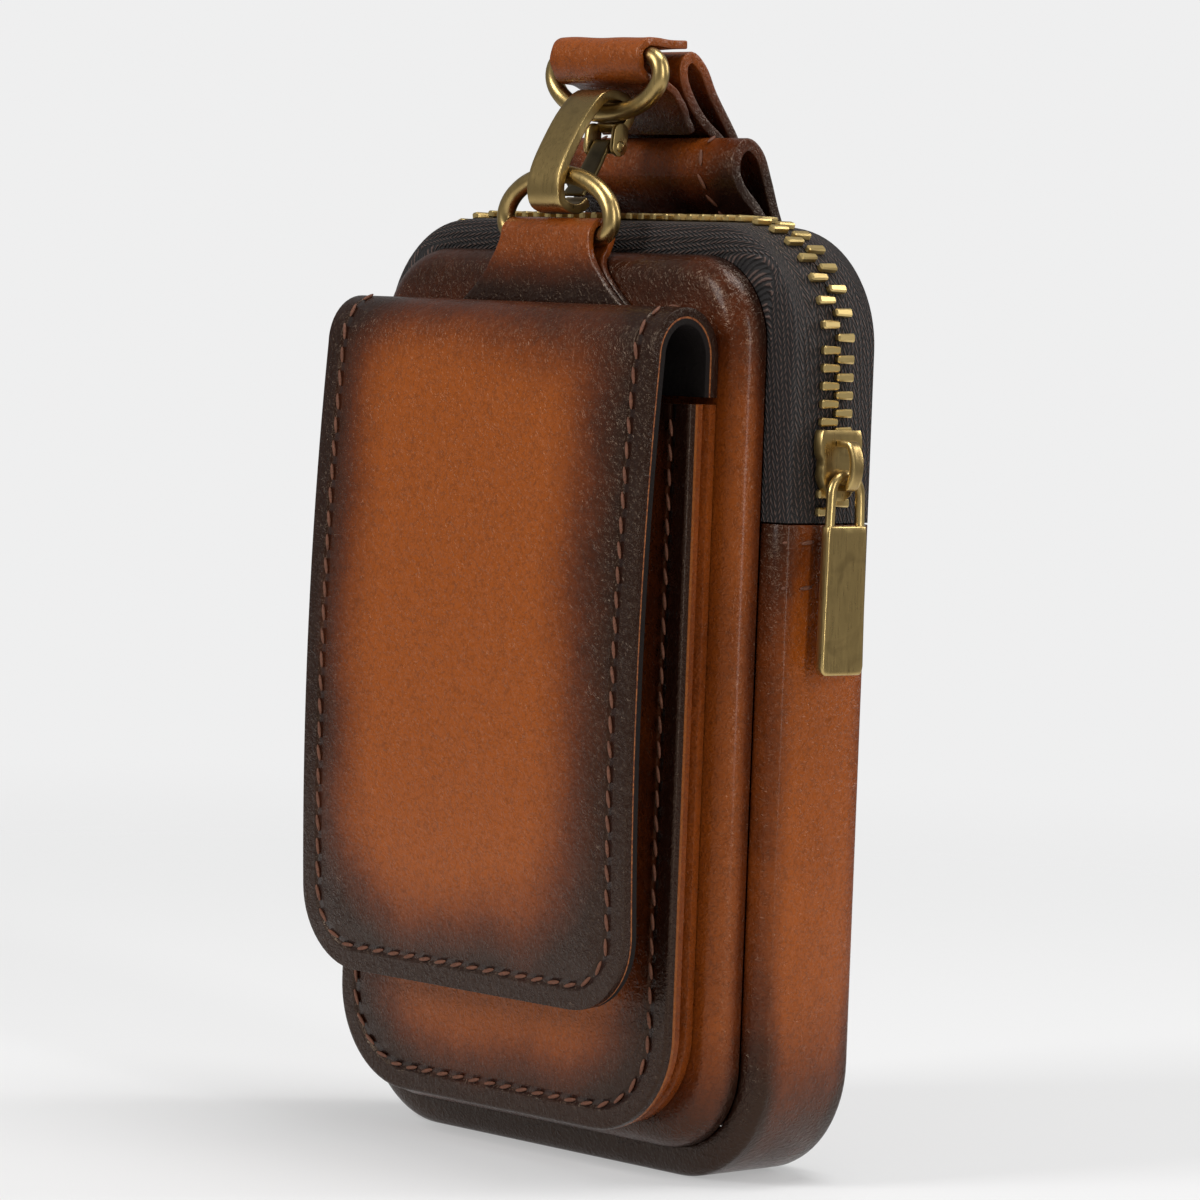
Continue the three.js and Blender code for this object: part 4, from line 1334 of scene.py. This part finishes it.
def stitch_row(name, places, lean=12, lift=0.12 * MM):
    """Stitches at places, each a point, the way along the seam and the way out of the leather."""
    turned_places = []
    for i, (point, along, out) in enumerate(places):
        turned = Matrix.Rotation(radians(lean + 3 * sin(i * 2.4)), 3, out) @ along
        axes = (turned.cross(out).normalized(), out, turned)
        turned_places.append((point + out * lift, axes))
    row = join(copies_at(stitch_shape(), turned_places), name)
    finish_piece(row, "bag", None, [seam_thread], smooth=60)


def rounded_path(half, low, top, radius):
    """Down the right side, round the two lower corners and up the left side, as (x, z) points."""
    right = [Vector((half, top)), Vector((half, low + radius))]
    turn = [pi / 2 * i / 16 for i in range(1, 17)]
    corner = [Vector((half - radius * (1 - cos(t)), low + radius * (1 - sin(t)))) for t in turn]
    left = [Vector((-point.x, point.y)) for point in reversed([*right, *corner])]
    return Route([*right, *corner, *left])


def pocket_stitches():
    low, top = pocket_low.z + SEAM_INSET, pocket_high.z - 2 * MM
    path = rounded_path(pocket_high.x - SEAM_INSET, low, top, POCKET_CORNER - SEAM_INSET)
    places = []
    out = Vector((0, -1, 0))
    for point, way in path.steps(STITCH_PITCH):
        places.append((Vector((point.x, pocket_low.y + 0.2 * MM, point.y)), Vector((way.x, 0, way.y)), out))
    stitch_row("pocket_stitches", places)


def flap_stitches():
    """The seam goes over the arch, down each side and round the flap's lower corners."""
    profile = Route(flap_line()[12:])
    end = profile.length
    path = rounded_path(flap_high.x - SEAM_INSET, SEAM_INSET, end, FLAP_CORNER - SEAM_INSET)
    places = []
    for point, way in path.steps(STITCH_PITCH):
        place, down = profile.at(end - point.y)
        out = Vector((0, down.y, -down.x))
        if out.y > 0 and out.z < 0.5:
            out = -out
        along = (Vector((way.x, 0, 0)) - Vector((0, down.x, down.y)) * way.y).normalized()
        places.append((Vector((point.x, place.x, place.y)), along, out))
    stitch_row("flap_stitches", places)


def band_stitches():
    """Two short rows across each end of the side band."""
    places = []
    for x_side in (-1, 1):
        out = Vector((x_side, 0, 0))
        for height, last in ((band_high.z - 3 * MM, 9 * MM), (band_high.z - 10.7 * MM, -2 * MM)):
            y = -9.0 * MM
            while y < last:
                share = max(0.0, 1 - (y / (band_high.y - SHOULDER)) ** 2)
                dip = 0.6 * MM if abs(y) > 8.4 * MM else 0
                x = x_side * (band_high.x + BAND_CROWN * share - dip)
                places.append((Vector((x, y, height)), Vector((0, 1, 0)), out))
                y += 3.6 * MM
    stitch_row("band_stitches", places, lean=6)


def loop_stitches():
    """A row near each end of the belt loop, over its crest and down its front."""
    line = shifted(loop_line(), 1.15 * MM)
    route = Route(line)
    places = []
    for x in (-14 * MM, 14 * MM):
        s = 0
        while s < route.length:
            point, way = route.at(s)
            if point.y > BODY_TOP - 2 * MM:
                out = Vector((0, -way.y, way.x))
                places.append((Vector((x, point.x, point.y)), Vector((0, way.x, way.y)), out))
            s += STITCH_PITCH
    stitch_row("loop_stitches", places, lean=14)


pocket_stitches()
flap_stitches()
band_stitches()
loop_stitches()


# Camera, floor and light
def set_camera():
    back = Vector((
        sin(CAMERA_AZIMUTH) * cos(CAMERA_RISE),
        -cos(CAMERA_AZIMUTH) * cos(CAMERA_RISE),
        sin(CAMERA_RISE)))
    right = (-back).cross(Vector((0, 0, 1))).normalized()
    up = right.cross(-back)
    turned = right * cos(CAMERA_ROLL) + up * sin(CAMERA_ROLL)
    upright = up * cos(CAMERA_ROLL) - right * sin(CAMERA_ROLL)
    camera = bpy.data.objects.new("camera", bpy.data.cameras.new("camera"))
    camera.data.sensor_width = 36
    camera.data.lens = 36 * FOCAL_PIXELS / IMAGE_WIDE
    camera.data.clip_end = 50
    camera.matrix_world = Matrix.Translation(CAMERA_TARGET + back * CAMERA_DISTANCE) @ Matrix(
        (turned, upright, back)).transposed().to_4x4()
    link(camera)
    bpy.context.scene.camera = camera


def area_light(name, place, aim, size, power, color=(1, 1, 1)):
    light = bpy.data.lights.new(name, "AREA")
    light.shape = "RECTANGLE"
    light.size, light.size_y = size
    light.energy = power
    light.color = color
    lamp = bpy.data.objects.new(name, light)
    lamp.location = place
    lamp.rotation_euler = (Vector(aim) - Vector(place)).to_track_quat("-Z", "Y").to_euler()
    link(lamp)


def set_floor():
    """A pale floor that fades into the plain background."""
    clear_selection()
    bpy.ops.mesh.primitive_circle_add(vertices=96, radius=FLOOR_END, fill_type="NGON", location=(0, 0, 0))
    floor = named("floor")
    finish = Finish("pale floor")
    x, y, _ = finish.axes()
    away = (x * x + y * y).math("SQRT")
    shade = finish.noise(3, 1.0) * 0.01
    color = finish.mix(shade, (FLOOR_TONE, FLOOR_TONE, FLOOR_TONE, 1), (0.7, 0.7, 0.7, 1))
    finish.feed(finish.shader, "Alpha", 1 - away.ramp(FLOOR_FADE, FLOOR_END))
    floor.data.materials.append(finish.done(
        color, 0.9, None, Specular_IOR_Level=0.0, Emission_Color=(1, 1, 1, 1), Emission_Strength=FLOOR_GLOW))


def set_light():
    world = bpy.data.worlds.new("studio")
    bpy.context.scene.world = world
    world.use_nodes = True
    tree = world.node_tree
    sky = tree.nodes["Background"]
    sky.inputs["Color"].default_value = (1, 1, 1, 1)
    sky.inputs["Strength"].default_value = 0.24
    seen = tree.nodes.new("ShaderNodeBackground")
    seen.inputs["Color"].default_value = BACKDROP
    path = tree.nodes.new("ShaderNodeLightPath")
    blend = tree.nodes.new("ShaderNodeMixShader")
    tree.links.new(path.outputs["Is Camera Ray"], blend.inputs[0])
    tree.links.new(sky.outputs[0], blend.inputs[1])
    tree.links.new(seen.outputs[0], blend.inputs[2])
    tree.links.new(blend.outputs[0], tree.nodes["World Output"].inputs[0])
    centre = (0, 0, 90 * MM)
    area_light("key", (-0.35, -1.3, 0.9), centre, (0.45, 0.8), 13)
    area_light("side", (1.3, -0.25, 0.45), centre, (0.16, 1.1), 6)
    area_light("top", (0.25, 0.2, 1.4), centre, (0.6, 0.7), 11)
    area_light("rim", (0.6, 1.1, 0.7), centre, (0.3, 0.8), 5)


set_camera()
set_floor()
set_light()
bpy.context.scene.view_settings.view_transform = "Standard"
